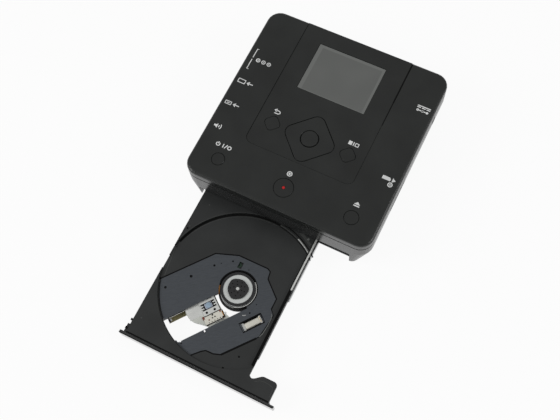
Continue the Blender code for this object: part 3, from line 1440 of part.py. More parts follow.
def make_spindle():
    place = (SPINDLE_X, SPINDLE_Y, 0)
    seat = LAND - DISC_SEAT_DROP
    rotor_top = seat - PAD_THICKNESS - SEAT
    under = rotor_top - ROTOR_SHEET
    skirt = rotor_top - ROTOR_SKIRT
    well_floor = LAND - FRAME_BOTTOM + MOTOR_WELL_FLOOR
    stator_low = well_floor + SEAT
    stator_top = stator_low + STATOR_THICKNESS
    bearing = SHAFT_RADIUS + SEAT
    tube = 2 * SHAFT_RADIUS + SEAT
    solid(
        "spindle_base",
        turned(
            (
                (bearing, stator_low),
                (STATOR_RADIUS, stator_low),
                (STATOR_RADIUS, stator_top),
                (tube, stator_top),
                (tube, under - RUN),
                (bearing, under - RUN),
            ),
            36,
            bored=True,
        ),
        "steel",
        place,
    )
    solid(
        "rotor",
        turned(
            (
                (SHAFT_RADIUS, stator_low + SEAT),
                (SHAFT_RADIUS, under),
                (ROTOR_RADIUS - ROTOR_SHEET, under),
                (ROTOR_RADIUS - ROTOR_SHEET, skirt),
                (ROTOR_RADIUS, skirt),
                (ROTOR_RADIUS, rotor_top),
            ),
            40,
        ),
        "bright_steel",
        place,
    )
    solid(
        "friction_ring",
        turned(
            (
                (ROTOR_RADIUS - PAD_WIDTH, rotor_top + SEAT),
                (ROTOR_RADIUS, rotor_top + SEAT),
                (ROTOR_RADIUS, seat),
                (ROTOR_RADIUS - PAD_WIDTH, seat),
            ),
            40,
            bored=True,
        ),
        "rubber",
        place,
    )
    hub_low = rotor_top + SEAT
    hub_top = seat + HUB_HEIGHT
    hub = solid(
        "hub",
        turned(
            (
                (PIN_RADIUS + SEAT, hub_low),
                (HUB_RADIUS, hub_low),
                (HUB_RADIUS, hub_top - HUB_EDGE),
                (HUB_RADIUS - HUB_EDGE, hub_top),
                (PIN_RADIUS + SEAT, hub_top),
            ),
            36,
            bored=True,
        ),
        "key_black",
        place,
    )
    claws = []
    slots = []
    for index in range(3):
        bearing_angle = 2 * math.pi * index / 3 + math.pi / 2
        claw = box(
            HUB_RADIUS / 2,
            HUB_RADIUS + CLAW_REACH,
            -CLAW_HALF_WIDTH + HUB_SLOT_WIDTH / 2,
            CLAW_HALF_WIDTH - HUB_SLOT_WIDTH / 2,
            seat + HUB_EDGE,
            hub_top - HUB_EDGE,
        )
        claws.append(guide(f"claw_{index + 1}", claw, place, bearing_angle))
        for side in (-1, 1):
            near = side * (CLAW_HALF_WIDTH + HUB_SLOT_WIDTH / 2)
            slot = box(
                HUB_RADIUS / 2,
                HUB_RADIUS + OVERCUT,
                near - HUB_SLOT_WIDTH / 2,
                near + HUB_SLOT_WIDTH / 2,
                seat,
                hub_top + OVERCUT,
            )
            slots.append(guide(f"claw_slot_{index + 1}_{'a' if side < 0 else 'b'}", slot, place, bearing_angle))
    cut(hub, *slots)
    join(hub, *claws)
    solid(
        "spindle_pin",
        turned(
            (
                (PIN_RADIUS, rotor_top + SEAT),
                (PIN_RADIUS, hub_top - HUB_EDGE),
                (PIN_RADIUS - HUB_EDGE, hub_top),
            ),
            16,
        ),
        "bright_steel",
        place,
    )


def make_sled():
    top = LAND - SLED_TOP
    bottom = LAND - SLED_BOTTOM
    sled = traverse("pickup_sled", prism(scaled(SLED_SHARES, RECESS_RADIUS), bottom, top), "cast_grey")
    well_floor = bottom + SLED_FLOOR
    tools = [
        traverse_guide(
            "actuator_well",
            box(
                ACTUATOR_INNER - SEAT,
                ACTUATOR_OUTER + SEAT,
                ACTUATOR_LEFT - SEAT,
                ACTUATOR_RIGHT + SEAT,
                well_floor,
                top + OVERCUT,
            ),
        )
    ]
    for name, side in (("sled_bore_a", ROD_A_SIDE), ("sled_bore_b", ROD_B_SIDE)):
        tools.append(traverse_guide(name, rod_shape(ROD_RADIUS + SEAT, 0, ROD_A_OUTER, side, ROD_DROP, 16)))
    cut(sled, *tools)
    base_low = well_floor + SEAT
    base_top = base_low + ACTUATOR_SHEET
    plate = traverse(
        "actuator_base",
        box(ACTUATOR_INNER, ACTUATOR_OUTER, ACTUATOR_LEFT, ACTUATOR_RIGHT, base_low, base_top),
        "steel",
    )
    yokes = []
    half = HOLDER_WIDTH / 2
    for name, start in (
        ("yoke_inner", ACTUATOR_INNER + YOKE_THICKNESS),
        ("yoke_outer", ACTUATOR_OUTER - 2 * YOKE_THICKNESS),
    ):
        yoke = box(start, start + YOKE_THICKNESS, LENS_SIDE - half, LENS_SIDE + half, base_low, top)
        yokes.append(traverse_guide(name, yoke))
    join(plate, *yokes)
    holder_low = base_top + LENS_FOCUS + RUN
    holder_top = holder_low + HOLDER_HEIGHT
    holder = traverse(
        "lens_holder",
        box(
            LENS_RADIUS_OUT - HOLDER_LENGTH / 2,
            LENS_RADIUS_OUT + HOLDER_LENGTH / 2,
            LENS_SIDE - half,
            LENS_SIDE + half,
            holder_low,
            holder_top,
        ),
        "key_black",
    )
    seat = prism(
        circle(LENS_RADIUS + SEAT, (LENS_RADIUS_OUT, LENS_SIDE), 20), holder_top - RUN, holder_top + OVERCUT
    )
    cut(holder, traverse_guide("lens_seat", seat))
    lens = traverse(
        "objective_lens",
        loft((
            level(circle(LENS_RADIUS, (LENS_RADIUS_OUT, LENS_SIDE), 20), holder_top - RUN + SEAT),
            level(circle(LENS_RADIUS, (LENS_RADIUS_OUT, LENS_SIDE), 20), holder_top + SEAT),
            level(circle(LENS_RADIUS / 2, (LENS_RADIUS_OUT, LENS_SIDE), 20), holder_top + RUN),
        )),
        "lens_glass",
    )
    lens_spot = Matrix.Rotation(SLED_BEARING, 3, "Z") @ Vector((LENS_RADIUS_OUT, LENS_SIDE, 0)) + SPINDLE
    for item in (holder, lens):
        moved_origin(item, lens_spot)
    strip_low = top + SEAT
    traverse(
        "pickup_board",
        box(STRIP_INNER, STRIP_OUTER, STRIP_LEFT, STRIP_RIGHT, strip_low, strip_low + STRIP_THICKNESS),
        "flex_amber",
    )
    half = NUT_HALF_WIDTH
    nut = traverse(
        "sled_nut",
        box(NUT_INNER, NUT_OUTER, SCREW_SIDE - half, SCREW_SIDE + half, bottom, LAND - SCREW_DROP + half),
        "pale_resin",
    )
    bore = rod_shape(SCREW_RADIUS + SEAT, 0, SCREW_OUTER, SCREW_SIDE, SCREW_DROP, 16)
    cut(nut, traverse_guide("nut_bore", bore))


def make_feed():
    centre = ((MOTOR_LEFT + MOTOR_RIGHT) / 2, LAND - SCREW_DROP)
    width = MOTOR_RIGHT - MOTOR_LEFT
    height = 2 * (FRAME_BOTTOM - FRAME_FLOOR - SEAT - SCREW_DROP)
    outline = rounded_rect(width, height, height / 3, centre, 3)
    rings = [[(along, y, z) for y, z in outline] for along in (MOTOR_INNER, MOTOR_OUTER - SEAT)]
    traverse("feed_motor", loft(rings), "pale_resin")
    screw = traverse(
        "lead_screw",
        rod_shape(SCREW_RADIUS, MOTOR_OUTER + SEAT, SCREW_OUTER, SCREW_SIDE, SCREW_DROP, 16),
        "bright_steel",
    )
    axis = Matrix.Rotation(SLED_BEARING, 3, "Z") @ Vector((MOTOR_OUTER, SCREW_SIDE, 0)) + SPINDLE
    axis.z = LAND - SCREW_DROP
    moved_origin(screw, axis)
    wall = -SLOT_LEFT - SLOT_SIDE_MARGIN + SEAT
    low = LAND - FRAME_BOTTOM + SEAT
    outer = ROD_A_OUTER - ROD_HOLD
    traverse(
        "pickup_flex",
        box(outer - FLEX_LENGTH, outer, wall, wall + FLEX_WIDTH, low, low + FLEX_THICKNESS),
        "flex_olive",
    )
    flex_top = LAND - PLATE_DROP - PLATE_THICKNESS - SEAT
    middle = STATOR_RADIUS + PAD_WIDTH / 2
    side = -SLOT_LEFT - SEAT
    traverse(
        "spindle_flex",
        box(
            middle - MOTOR_FLEX_WIDTH / 2,
            middle + MOTOR_FLEX_WIDTH / 2,
            side - MOTOR_FLEX_WIDTH,
            side,
            flex_top - FLEX_THICKNESS,
            flex_top,
        ),
        "flex_amber",
    )


def main():
    clear_scene()
    make_lower_shell()
    make_top_cover()
    make_base()
    make_panel()
    make_screen()
    make_round_buttons()
    make_side_keys()
    make_nav_keys()
    make_key_board()
    make_main_board()
    make_sockets()
    make_drive()
    make_rails()
    make_tray()
    make_bezel()
    make_traverse_frame()
    make_cover_plate()
    make_spindle()
    make_sled()
    make_feed()
    bpy.context.view_layer.update()


main()
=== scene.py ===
"""Looks of a portable disc recorder with its slim tray pulled out.

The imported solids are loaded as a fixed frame. Each class below dresses one
sub-assembly: it gives the solids their finishes and adds the small forms that
the solids leave out. Metres, +Z up, +Y to the back of the case.
"""

import logging
import math
import random
from dataclasses import dataclass
from enum import Enum
from typing import Sequence

import bmesh
import bpy
from mathutils import Matrix, Vector


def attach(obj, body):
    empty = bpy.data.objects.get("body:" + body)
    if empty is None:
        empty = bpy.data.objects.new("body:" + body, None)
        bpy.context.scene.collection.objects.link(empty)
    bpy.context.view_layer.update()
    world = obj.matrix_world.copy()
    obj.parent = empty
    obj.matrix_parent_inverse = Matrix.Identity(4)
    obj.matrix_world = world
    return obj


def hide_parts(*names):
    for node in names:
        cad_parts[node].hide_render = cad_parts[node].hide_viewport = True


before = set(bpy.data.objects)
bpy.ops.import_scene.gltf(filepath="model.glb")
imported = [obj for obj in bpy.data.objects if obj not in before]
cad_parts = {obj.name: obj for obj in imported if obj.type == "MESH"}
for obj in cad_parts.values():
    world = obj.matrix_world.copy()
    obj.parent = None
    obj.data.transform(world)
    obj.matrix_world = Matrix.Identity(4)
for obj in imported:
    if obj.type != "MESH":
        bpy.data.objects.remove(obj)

LOG = logging.getLogger("recorder")
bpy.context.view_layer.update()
Point = tuple[float, float]
Spot = tuple[float, float, float]
Colour = tuple[float, float, float]
MM = 0.001
WORLD = Matrix()
SPINDLE_X, SPINDLE_Y = -1.0, -75.3
LAND_HEIGHT, PANEL_HEIGHT, TOP_HEIGHT = 16.1, 43.7, 44.1
SLED_BEARING = math.radians(-127.37)
SHARP = math.radians(32)
SPINDLE = Matrix.Translation((SPINDLE_X, SPINDLE_Y, LAND_HEIGHT))
TRAVERSE = SPINDLE @ Matrix.Rotation(SLED_BEARING, 4, "Z")
TOP = Matrix.Translation((SPINDLE_X, SPINDLE_Y, TOP_HEIGHT))
PANEL = Matrix.Translation((SPINDLE_X, SPINDLE_Y, PANEL_HEIGHT))


# Shader maths


class Wire:
    """A shader socket that Python's operators act on."""

    def __init__(self, shader: "Shader", socket: bpy.types.NodeSocket) -> None:
        """Wrap a socket.

        Args:
            shader: the material's builder, which makes the maths nodes.
            socket: an output socket of one of its nodes.
        """
        self.shader = shader
        self.socket = socket

    def _with(self, operation: str, first: object, second: object) -> "Wire":
        """Add one maths node and return its result."""
        return self.shader.maths(operation, first, second)

    def __add__(self, other: object) -> "Wire":
        """Sum."""
        return self._with("ADD", self, other)

    __radd__ = __add__

    def __sub__(self, other: object) -> "Wire":
        """Difference."""
        return self._with("SUBTRACT", self, other)

    def __rsub__(self, other: object) -> "Wire":
        """Difference from a number."""
        return self._with("SUBTRACT", other, self)

    def __mul__(self, other: object) -> "Wire":
        """Product."""
        return self._with("MULTIPLY", self, other)

    __rmul__ = __mul__

    def __truediv__(self, other: object) -> "Wire":
        """Quotient."""
        return self._with("DIVIDE", self, other)

    def __gt__(self, other: object) -> "Wire":
        """One where this is greater than the other, else zero."""
        return self._with("GREATER_THAN", self, other)

    def __lt__(self, other: object) -> "Wire":
        """One where this is less than the other, else zero."""
        return self._with("LESS_THAN", self, other)

    def __mod__(self, other: object) -> "Wire":
        """Remainder, positive for a positive divisor."""
        return self._with("FLOORED_MODULO", self, other)

    def __pow__(self, other: object) -> "Wire":
        """Power."""
        return self._with("POWER", self, other)

    def __abs__(self) -> "Wire":
        """Size without sign."""
        return self._with("ABSOLUTE", self, 0.0)


class Shader:
    """Builds one Principled material."""

    def __init__(self, name: str) -> None:
        """Start an empty Principled material.

        Args:
            name: the material's name.
        """
        self.material = bpy.data.materials.new(name)
        self.material.use_nodes = True
        self.tree = self.material.node_tree
        self.surface = self.tree.nodes["Principled BSDF"]
        self._object_coords: Wire | None = None

    def node(
        self,
        kind: str,
        settings: dict[str, object] | None = None,
        inputs: dict[object, object] | None = None,
        output: object = 0,
    ) -> Wire:
        """Add a node, set it up and return one of its outputs.

        Args:
            kind: the node's type, such as "ShaderNodeTexNoise".
            settings: attributes of the node, or "stops" for a ramp.
            inputs: values or wires by input name or index.
            output: name or index of the output that is returned.

        Returns:
            The wrapped output socket.
        """
        made = self.tree.nodes.new(kind)
        for key, value in (settings or {}).items():
            if key == "stops":
                self._stops(made, value)
            else:
                setattr(made, key, value)
        for key, value in (inputs or {}).items():
            self.feed(made.inputs[key], value)
        return Wire(self, made.outputs[output])

    @staticmethod
    def _stops(ramp: bpy.types.Node, stops: Sequence[tuple[float, Sequence[float]]]) -> None:
        """Set a colour ramp's stops."""
        elements = ramp.color_ramp.elements
        while len(elements) < len(stops):
            elements.new(1.0)
        for element, (place, colour) in zip(elements, stops):
            element.position = place
            element.color = (*colour, 1.0) if len(colour) == 3 else colour

    def feed(self, socket: bpy.types.NodeSocket, value: object) -> None:
        """Link a wire to a socket, or write a plain value on it."""
        if isinstance(value, Wire):
            self.tree.links.new(value.socket, socket)
        elif isinstance(value, tuple) and len(value) == 3 and socket.type == "RGBA":
            socket.default_value = (*value, 1.0)
        else:
            socket.default_value = value

    def maths(self, operation: str, first: object, second: object = 0.0) -> Wire:
        """Add a Math node."""
        return self.node("ShaderNodeMath", {"operation": operation}, {0: first, 1: second})

    def coords(self) -> Wire:
        """The object's own coordinates, in metres."""
        if self._object_coords is None:
            self._object_coords = self.node("ShaderNodeTexCoord", output="Object")
        return self._object_coords

    def mapped(self, scale: Spot = (1, 1, 1), turn: float = 0.0, shift: Spot = (0, 0, 0)) -> Wire:
        """The object's coordinates moved, turned about Z and scaled.

        Args:
            scale: scale along each axis, after the turn.
            turn: turn about Z in radians.
            shift: the point that becomes the origin.

        Returns:
            The mapped vector.
        """
        moved = self.node(
            "ShaderNodeMapping",
            {"vector_type": "TEXTURE"},
            {"Vector": self.coords(), "Location": shift, "Rotation": (0.0, 0.0, turn)},
        )
        return self.node(
            "ShaderNodeVectorMath", {"operation": "MULTIPLY"}, {0: moved, 1: scale}
        )

    def noise(self, vector: Wire, scale: float, detail: float = 3.0, roughness: float = 0.5) -> Wire:
        """Noise from about 0 to 1."""
        return self.node(
            "ShaderNodeTexNoise",
            None,
            {"Vector": vector, "Scale": scale, "Detail": detail, "Roughness": roughness},
        )

    def ramp(self, value: Wire, low: float, high: float) -> Wire:
        """Stretch a value so that low becomes 0 and high becomes 1, clamped."""
        return self.node(
            "ShaderNodeMapRange", None, {"Value": value, "From Min": low, "From Max": high}
        )

    def mix(self, share: object, first: object, second: object) -> Wire:
        """Mix two colours by a share."""
        made = self.tree.nodes.new("ShaderNodeMix")
        made.data_type = "RGBA"
        self.feed(made.inputs[0], share)
        self.feed(made.inputs[6], first)
        self.feed(made.inputs[7], second)
        return Wire(self, made.outputs[2])

    def parts(self, vector: Wire) -> tuple[Wire, Wire, Wire]:
        """A vector's X, Y and Z."""
        split = self.tree.nodes.new("ShaderNodeSeparateXYZ")
        self.feed(split.inputs[0], vector)
        return tuple(Wire(self, split.outputs[index]) for index in range(3))

    def bump(self, height: Wire, depth: float, strength: float = 1.0, after: Wire | None = None) -> Wire:
        """A bumped normal.

        Args:
            height: height from 0 to 1.
            depth: real depth of the bump in metres.
            strength: share of the bump that shows.
            after: a normal that this one is laid over.

        Returns:
            The normal.
        """
        inputs: dict[object, object] = {"Height": height, "Distance": depth, "Strength": strength}
        if after is not None:
            inputs["Normal"] = after
        return self.node("ShaderNodeBump", None, inputs)

    def set(self, **values: object) -> bpy.types.Material:
        """Feed the surface's sockets, named with underscores for spaces."""
        for key, value in values.items():
            self.feed(self.surface.inputs[key.replace("_", " ")], value)
        return self.material


# Meshes


def circle_points(radius: float, centre: Point = (0.0, 0.0), steps: int = 48) -> list[Point]:
    """Points of a circle, anticlockwise."""
    turn = 2 * math.pi / steps
    return [
        (centre[0] + radius * math.cos(turn * index), centre[1] + radius * math.sin(turn * index))
        for index in range(steps)
    ]


def round_box(
    left: float, right: float, front: float, back: float, radius: float, steps: int = 5
) -> list[Point]:
    """Points of a rectangle with round corners, anticlockwise."""
    points = []
    for x, y, start in (
        (right - radius, back - radius, 0.0),
        (left + radius, back - radius, 0.5),
        (left + radius, front + radius, 1.0),
        (right - radius, front + radius, 1.5),
    ):
        for index in range(steps + 1):
            angle = math.pi * (start + 0.5 * index / steps)
            points.append((x + radius * math.cos(angle), y + radius * math.sin(angle)))
    return points


def inset(outline: Sequence[Point], distance: float) -> list[Point]:
    """Move each point of an anticlockwise outline inwards."""
    moved = []
    count = len(outline)
    for index, (x, y) in enumerate(outline):
        before, after = outline[index - 1], outline[(index + 1) % count]
        first = Vector((x - before[0], y - before[1]))
        second = Vector((after[0] - x, after[1] - y))
        normals = [Vector((-side.y, side.x)).normalized() for side in (first, second) if side.length > 1e-9]
        normal = sum(normals, Vector((0.0, 0.0))).normalized()
        stretch = max(0.5, normal.dot(normals[0]))
        moved.append((x + normal.x * distance / stretch, y + normal.y * distance / stretch))
    return moved


def arc_points(
    radius: float, start: float, end: float, centre: Point = (0.0, 0.0), steps: int = 40
) -> list[Point]:
    """Points of an arc between two bearings in degrees."""
    angles = (math.radians(start + (end - start) * index / steps) for index in range(steps + 1))
    return [
        (centre[0] + radius * math.cos(angle), centre[1] + radius * math.sin(angle)) for angle in angles
    ]


class Draft:
    """Collects the forms of one piece in millimetres, then makes it an object."""

    def __init__(self, place: Matrix | None = None) -> None:
        """Start empty.

        Args:
            place: the frame that the forms are given in.
        """
        self.bm = bmesh.new()
        self.place = place if place is not None else Matrix()

    def loft(self, rings: Sequence[Sequence[Spot]], closed: bool = False) -> None:
        """Skin rings of equal count.

        Args:
            rings: rings of points, each anticlockwise seen from the end of the stack.
            closed: joins the last ring to the first instead of capping both.
        """
        rows = [[self.bm.verts.new(point) for point in ring] for ring in rings]
        pairs = list(zip(rows, rows[1:])) + ([(rows[-1], rows[0])] if closed else [])
        for low, high in pairs:
            for index in range(len(low)):
                after = (index + 1) % len(low)
                self.bm.faces.new((low[index], low[after], high[after], high[index]))
        if not closed:
            self.bm.faces.new(rows[0][::-1])
            self.bm.faces.new(rows[-1])

    def slab(self, outline: Sequence[Point], low: float, high: float, edge: float = 0.0) -> None:
        """An upright slab with an eased top edge."""
        rings = [[(x, y, low) for x, y in outline]]
        if edge:
            rings.append([(x, y, high - edge) for x, y in outline])
            middle = inset(outline, edge * 0.3)
            rings.append([(x, y, high - edge * 0.3) for x, y in middle])
        top = inset(outline, edge) if edge else outline
        rings.append([(x, y, high) for x, y in top])
        self.loft(rings)

    def block(
        self, left: float, right: float, front: float, back: float, low: float, high: float,
        edge: float = 0.08
    ) -> None:
        """A block with round upright edges and an eased top."""
        self.slab(round_box(left, right, front, back, edge * 1.5, 3), low, high, edge)

    def disc(
        self, centre: Point, radius: float, low: float, high: float, edge: float = 0.08, steps: int = 40
    ) -> None:
        """An upright disc."""
        self.slab(circle_points(radius, centre, steps), low, high, edge)

    def hoop(
        self, outer: Sequence[Point], inner: Sequence[Point], low: float, high: float, edge: float = 0.06
    ) -> None:
        """A flat frame between two outlines of equal count."""
        self.loft(
            (
                [(x, y, low) for x, y in outer],
                [(x, y, high - edge) for x, y in outer],
                [(x, y, high) for x, y in inset(outer, edge)],
                [(x, y, high) for x, y in inset(inner, -edge)],
                [(x, y, high - edge) for x, y in inner],
                [(x, y, low) for x, y in inner],
            ),
            closed=True,
        )

    def ring(
        self, centre: Point, inner: float, outer: float, low: float, high: float, edge: float = 0.06,
        steps: int = 72
    ) -> None:
        """A flat round ring."""
        self.hoop(circle_points(outer, centre, steps), circle_points(inner, centre, steps), low, high, edge)

    def strip(
        self, path: Sequence[Point], width: float, low: float, high: float, edge: float = 0.0
    ) -> None:
        """A flat strip of one width along a path."""
        sides: tuple[list[Point], list[Point]] = ([], [])
        for index, (x, y) in enumerate(path):
            before, after = path[max(index - 1, 0)], path[min(index + 1, len(path) - 1)]
            along = Vector((after[0] - before[0], after[1] - before[1])).normalized()
            for side, points in zip((-0.5, 0.5), sides):
                points.append((x - along.y * width * side, y + along.x * width * side))
        self.slab(sides[0] + sides[1][::-1], low, high, edge)

    def tube(self, path: Sequence[Spot], radius: float, sides: int = 12) -> None:
        """A round wire along a path."""
        rings = []
        for index, point in enumerate(path):
            before, after = path[max(index - 1, 0)], path[min(index + 1, len(path) - 1)]
            along = (Vector(after) - Vector(before)).normalized()
            across = along.cross(Vector((0.0, 0.0, 1.0)))
            across = across.normalized() if across.length > 1e-6 else Vector((1.0, 0.0, 0.0))
            upward = across.cross(along)
            rings.append([
                tuple(Vector(point) + radius * (across * x + upward * y))
                for x, y in circle_points(1.0, steps=sides)
            ])
        self.loft(rings)

    def thread(self, start: Spot, length: float, radius: float, pitch: float, depth: float) -> None:
        """A threaded rod along X."""
        rings = []
        count = int(length / pitch * 10)
        sides = 18
        for index in range(count + 1):
            along = length * index / count
            ring = []
            for side in range(sides):
                angle = 2 * math.pi * side / sides
                crest = 0.5 + 0.5 * math.cos(2 * math.pi * along / pitch - angle)
                reach = radius - depth * (1 - crest)
                ring.append(
                    (
                        start[0] + along, start[1] + reach * math.cos(angle),
                        start[2] + reach * math.sin(angle)
                    )
                )
            rings.append(ring)
        self.loft(rings)

    def screw_head(self, radius: float, height: float) -> None:
        """A pan head with a cross-shaped recess, on the XY plane."""
        steps = 32
        def star(share: float, depth: float) -> list[Spot]:
            """A four-pointed ring."""
            ring = []
            for index in range(steps):
                angle = 2 * math.pi * index / steps
                reach = radius * share * (0.30 + 0.70 * abs(math.cos(2 * angle)) ** 3)
                ring.append((reach * math.cos(angle), reach * math.sin(angle), depth))
            return ring
        rim = circle_points(radius, steps=steps)
        crown = circle_points(radius * 0.82, steps=steps)
        self.loft((
            [(x, y, 0.0) for x, y in rim],
            [(x, y, height * 0.55) for x, y in rim],
            [(x, y, height * 0.92) for x, y in crown],
            star(0.56, height),
            star(0.44, height * 0.40),
        ))

    def mesh(self, name: str) -> bpy.types.Mesh:
        """The finished mesh, in metres in the frame of the case."""
        placed = self.bm.copy()
        bmesh.ops.recalc_face_normals(placed, faces=placed.faces)
        bmesh.ops.transform(placed, matrix=Matrix.Scale(MM, 4) @ self.place, verts=placed.verts)
        made = bpy.data.meshes.new(name)
        placed.to_mesh(made)
        placed.free()
        made.polygons.foreach_set("use_smooth", [True] * len(made.polygons))
        made.set_sharp_from_angle(angle=SHARP)
        return made


@dataclass
class Workshop:
    """Makes pieces and tells the frame what they ride on."""

    palette: "Palette"
    count: int = 0

    def place(self, mesh: bpy.types.Mesh, name: str, finish: "Finish", body: str, *stands_for: str) -> None:
        """Turn a mesh into a piece.

        Args:
            mesh: its mesh, in place.
            name: the piece's name.
            finish: its finish.
            body: the body that it rides on.
            stands_for: carried-over solids that it replaces.
        """
        mesh.materials.clear()
        mesh.materials.append(self.palette.get(finish))
        item = bpy.data.objects.new(name, mesh)
        bpy.context.scene.collection.objects.link(item)
        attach(item, body)
        if stands_for:
            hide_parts(*stands_for)
        self.count += 1
        LOG.info("%s: %d faces on %s", name, len(mesh.polygons), body)

    def piece(self, draft: Draft, name: str, finish: "Finish", body: str, *stands_for: str) -> None:
        """Finish a draft as a piece."""
        self.place(draft.mesh(name), name, finish, body, *stands_for)

    def repeat(
        self,
        template: Draft,
        spots: Sequence[Spot],
        frame_of: Matrix,
        name: str,
        finish: "Finish",
        body: str,
        spread: float = 0.0,
        seed: int = 3,
    ) -> None:
        """Set copies of a template on points through Geometry Nodes.

        Args:
            template: the form to repeat, in millimetres about the origin.
            spots: where the copies stand, in millimetres.
            frame_of: the frame of the spots, which turns the copies too.
            name: the piece's name.
            finish: its finish.
            body: the body that it rides on.
            spread: random turn of each copy about its own axis, in radians.
            seed: seed of that turn.
        """
        points = bpy.data.meshes.new(f"{name}_points")
        points.from_pydata([tuple(Vector(spot) * MM) for spot in spots], [], [])
        mesh = Pattern(Layout.POINTS).run(
            template.mesh(f"{name}_template"), points, self.palette.get(finish), name,
            {"Spread": spread, "Seed": seed},
        )
        self._settle(mesh, frame_of, name, finish, body)

    def row(
        self, template: Draft, count: int, start: Spot, step: Spot, frame_of: Matrix, name: str,
        finish: "Finish", body: str
    ) -> None:
        """Set copies of a template in a straight row through Geometry Nodes."""
        mesh = Pattern(Layout.ROW).run(
            template.mesh(f"{name}_template"), None, self.palette.get(finish), name,
            {"Count": count, "Start": tuple(Vector(start) * MM), "Step": tuple(Vector(step) * MM)},
        )
        self._settle(mesh, frame_of, name, finish, body)

    def wheel(
        self, template: Draft, count: int, radius: float, height: float, frame_of: Matrix, name: str,
        finish: "Finish", body: str
    ) -> None:
        """Set copies of a template round a circle through Geometry Nodes, each turned outwards."""
        mesh = Pattern(Layout.WHEEL).run(
            template.mesh(f"{name}_template"), None, self.palette.get(finish), name,
            {"Count": count, "Radius": radius * MM, "Height": height * MM},
        )
        self._settle(mesh, frame_of, name, finish, body)

    def _settle(
        self, mesh: bpy.types.Mesh, frame_of: Matrix, name: str, finish: "Finish", body: str
    ) -> None:
        """Bring a repeated mesh from its own frame into the case's and make it a piece."""
        metres = frame_of.copy()
        metres.translation = frame_of.translation * MM
        mesh.transform(metres)
        mesh.set_sharp_from_angle(angle=SHARP)
        self.place(mesh, name, finish, body)


class Layout(Enum):
    """How a pattern lays out its copies."""

    POINTS = "on points"
    ROW = "in a row"
    WHEEL = "round a circle"


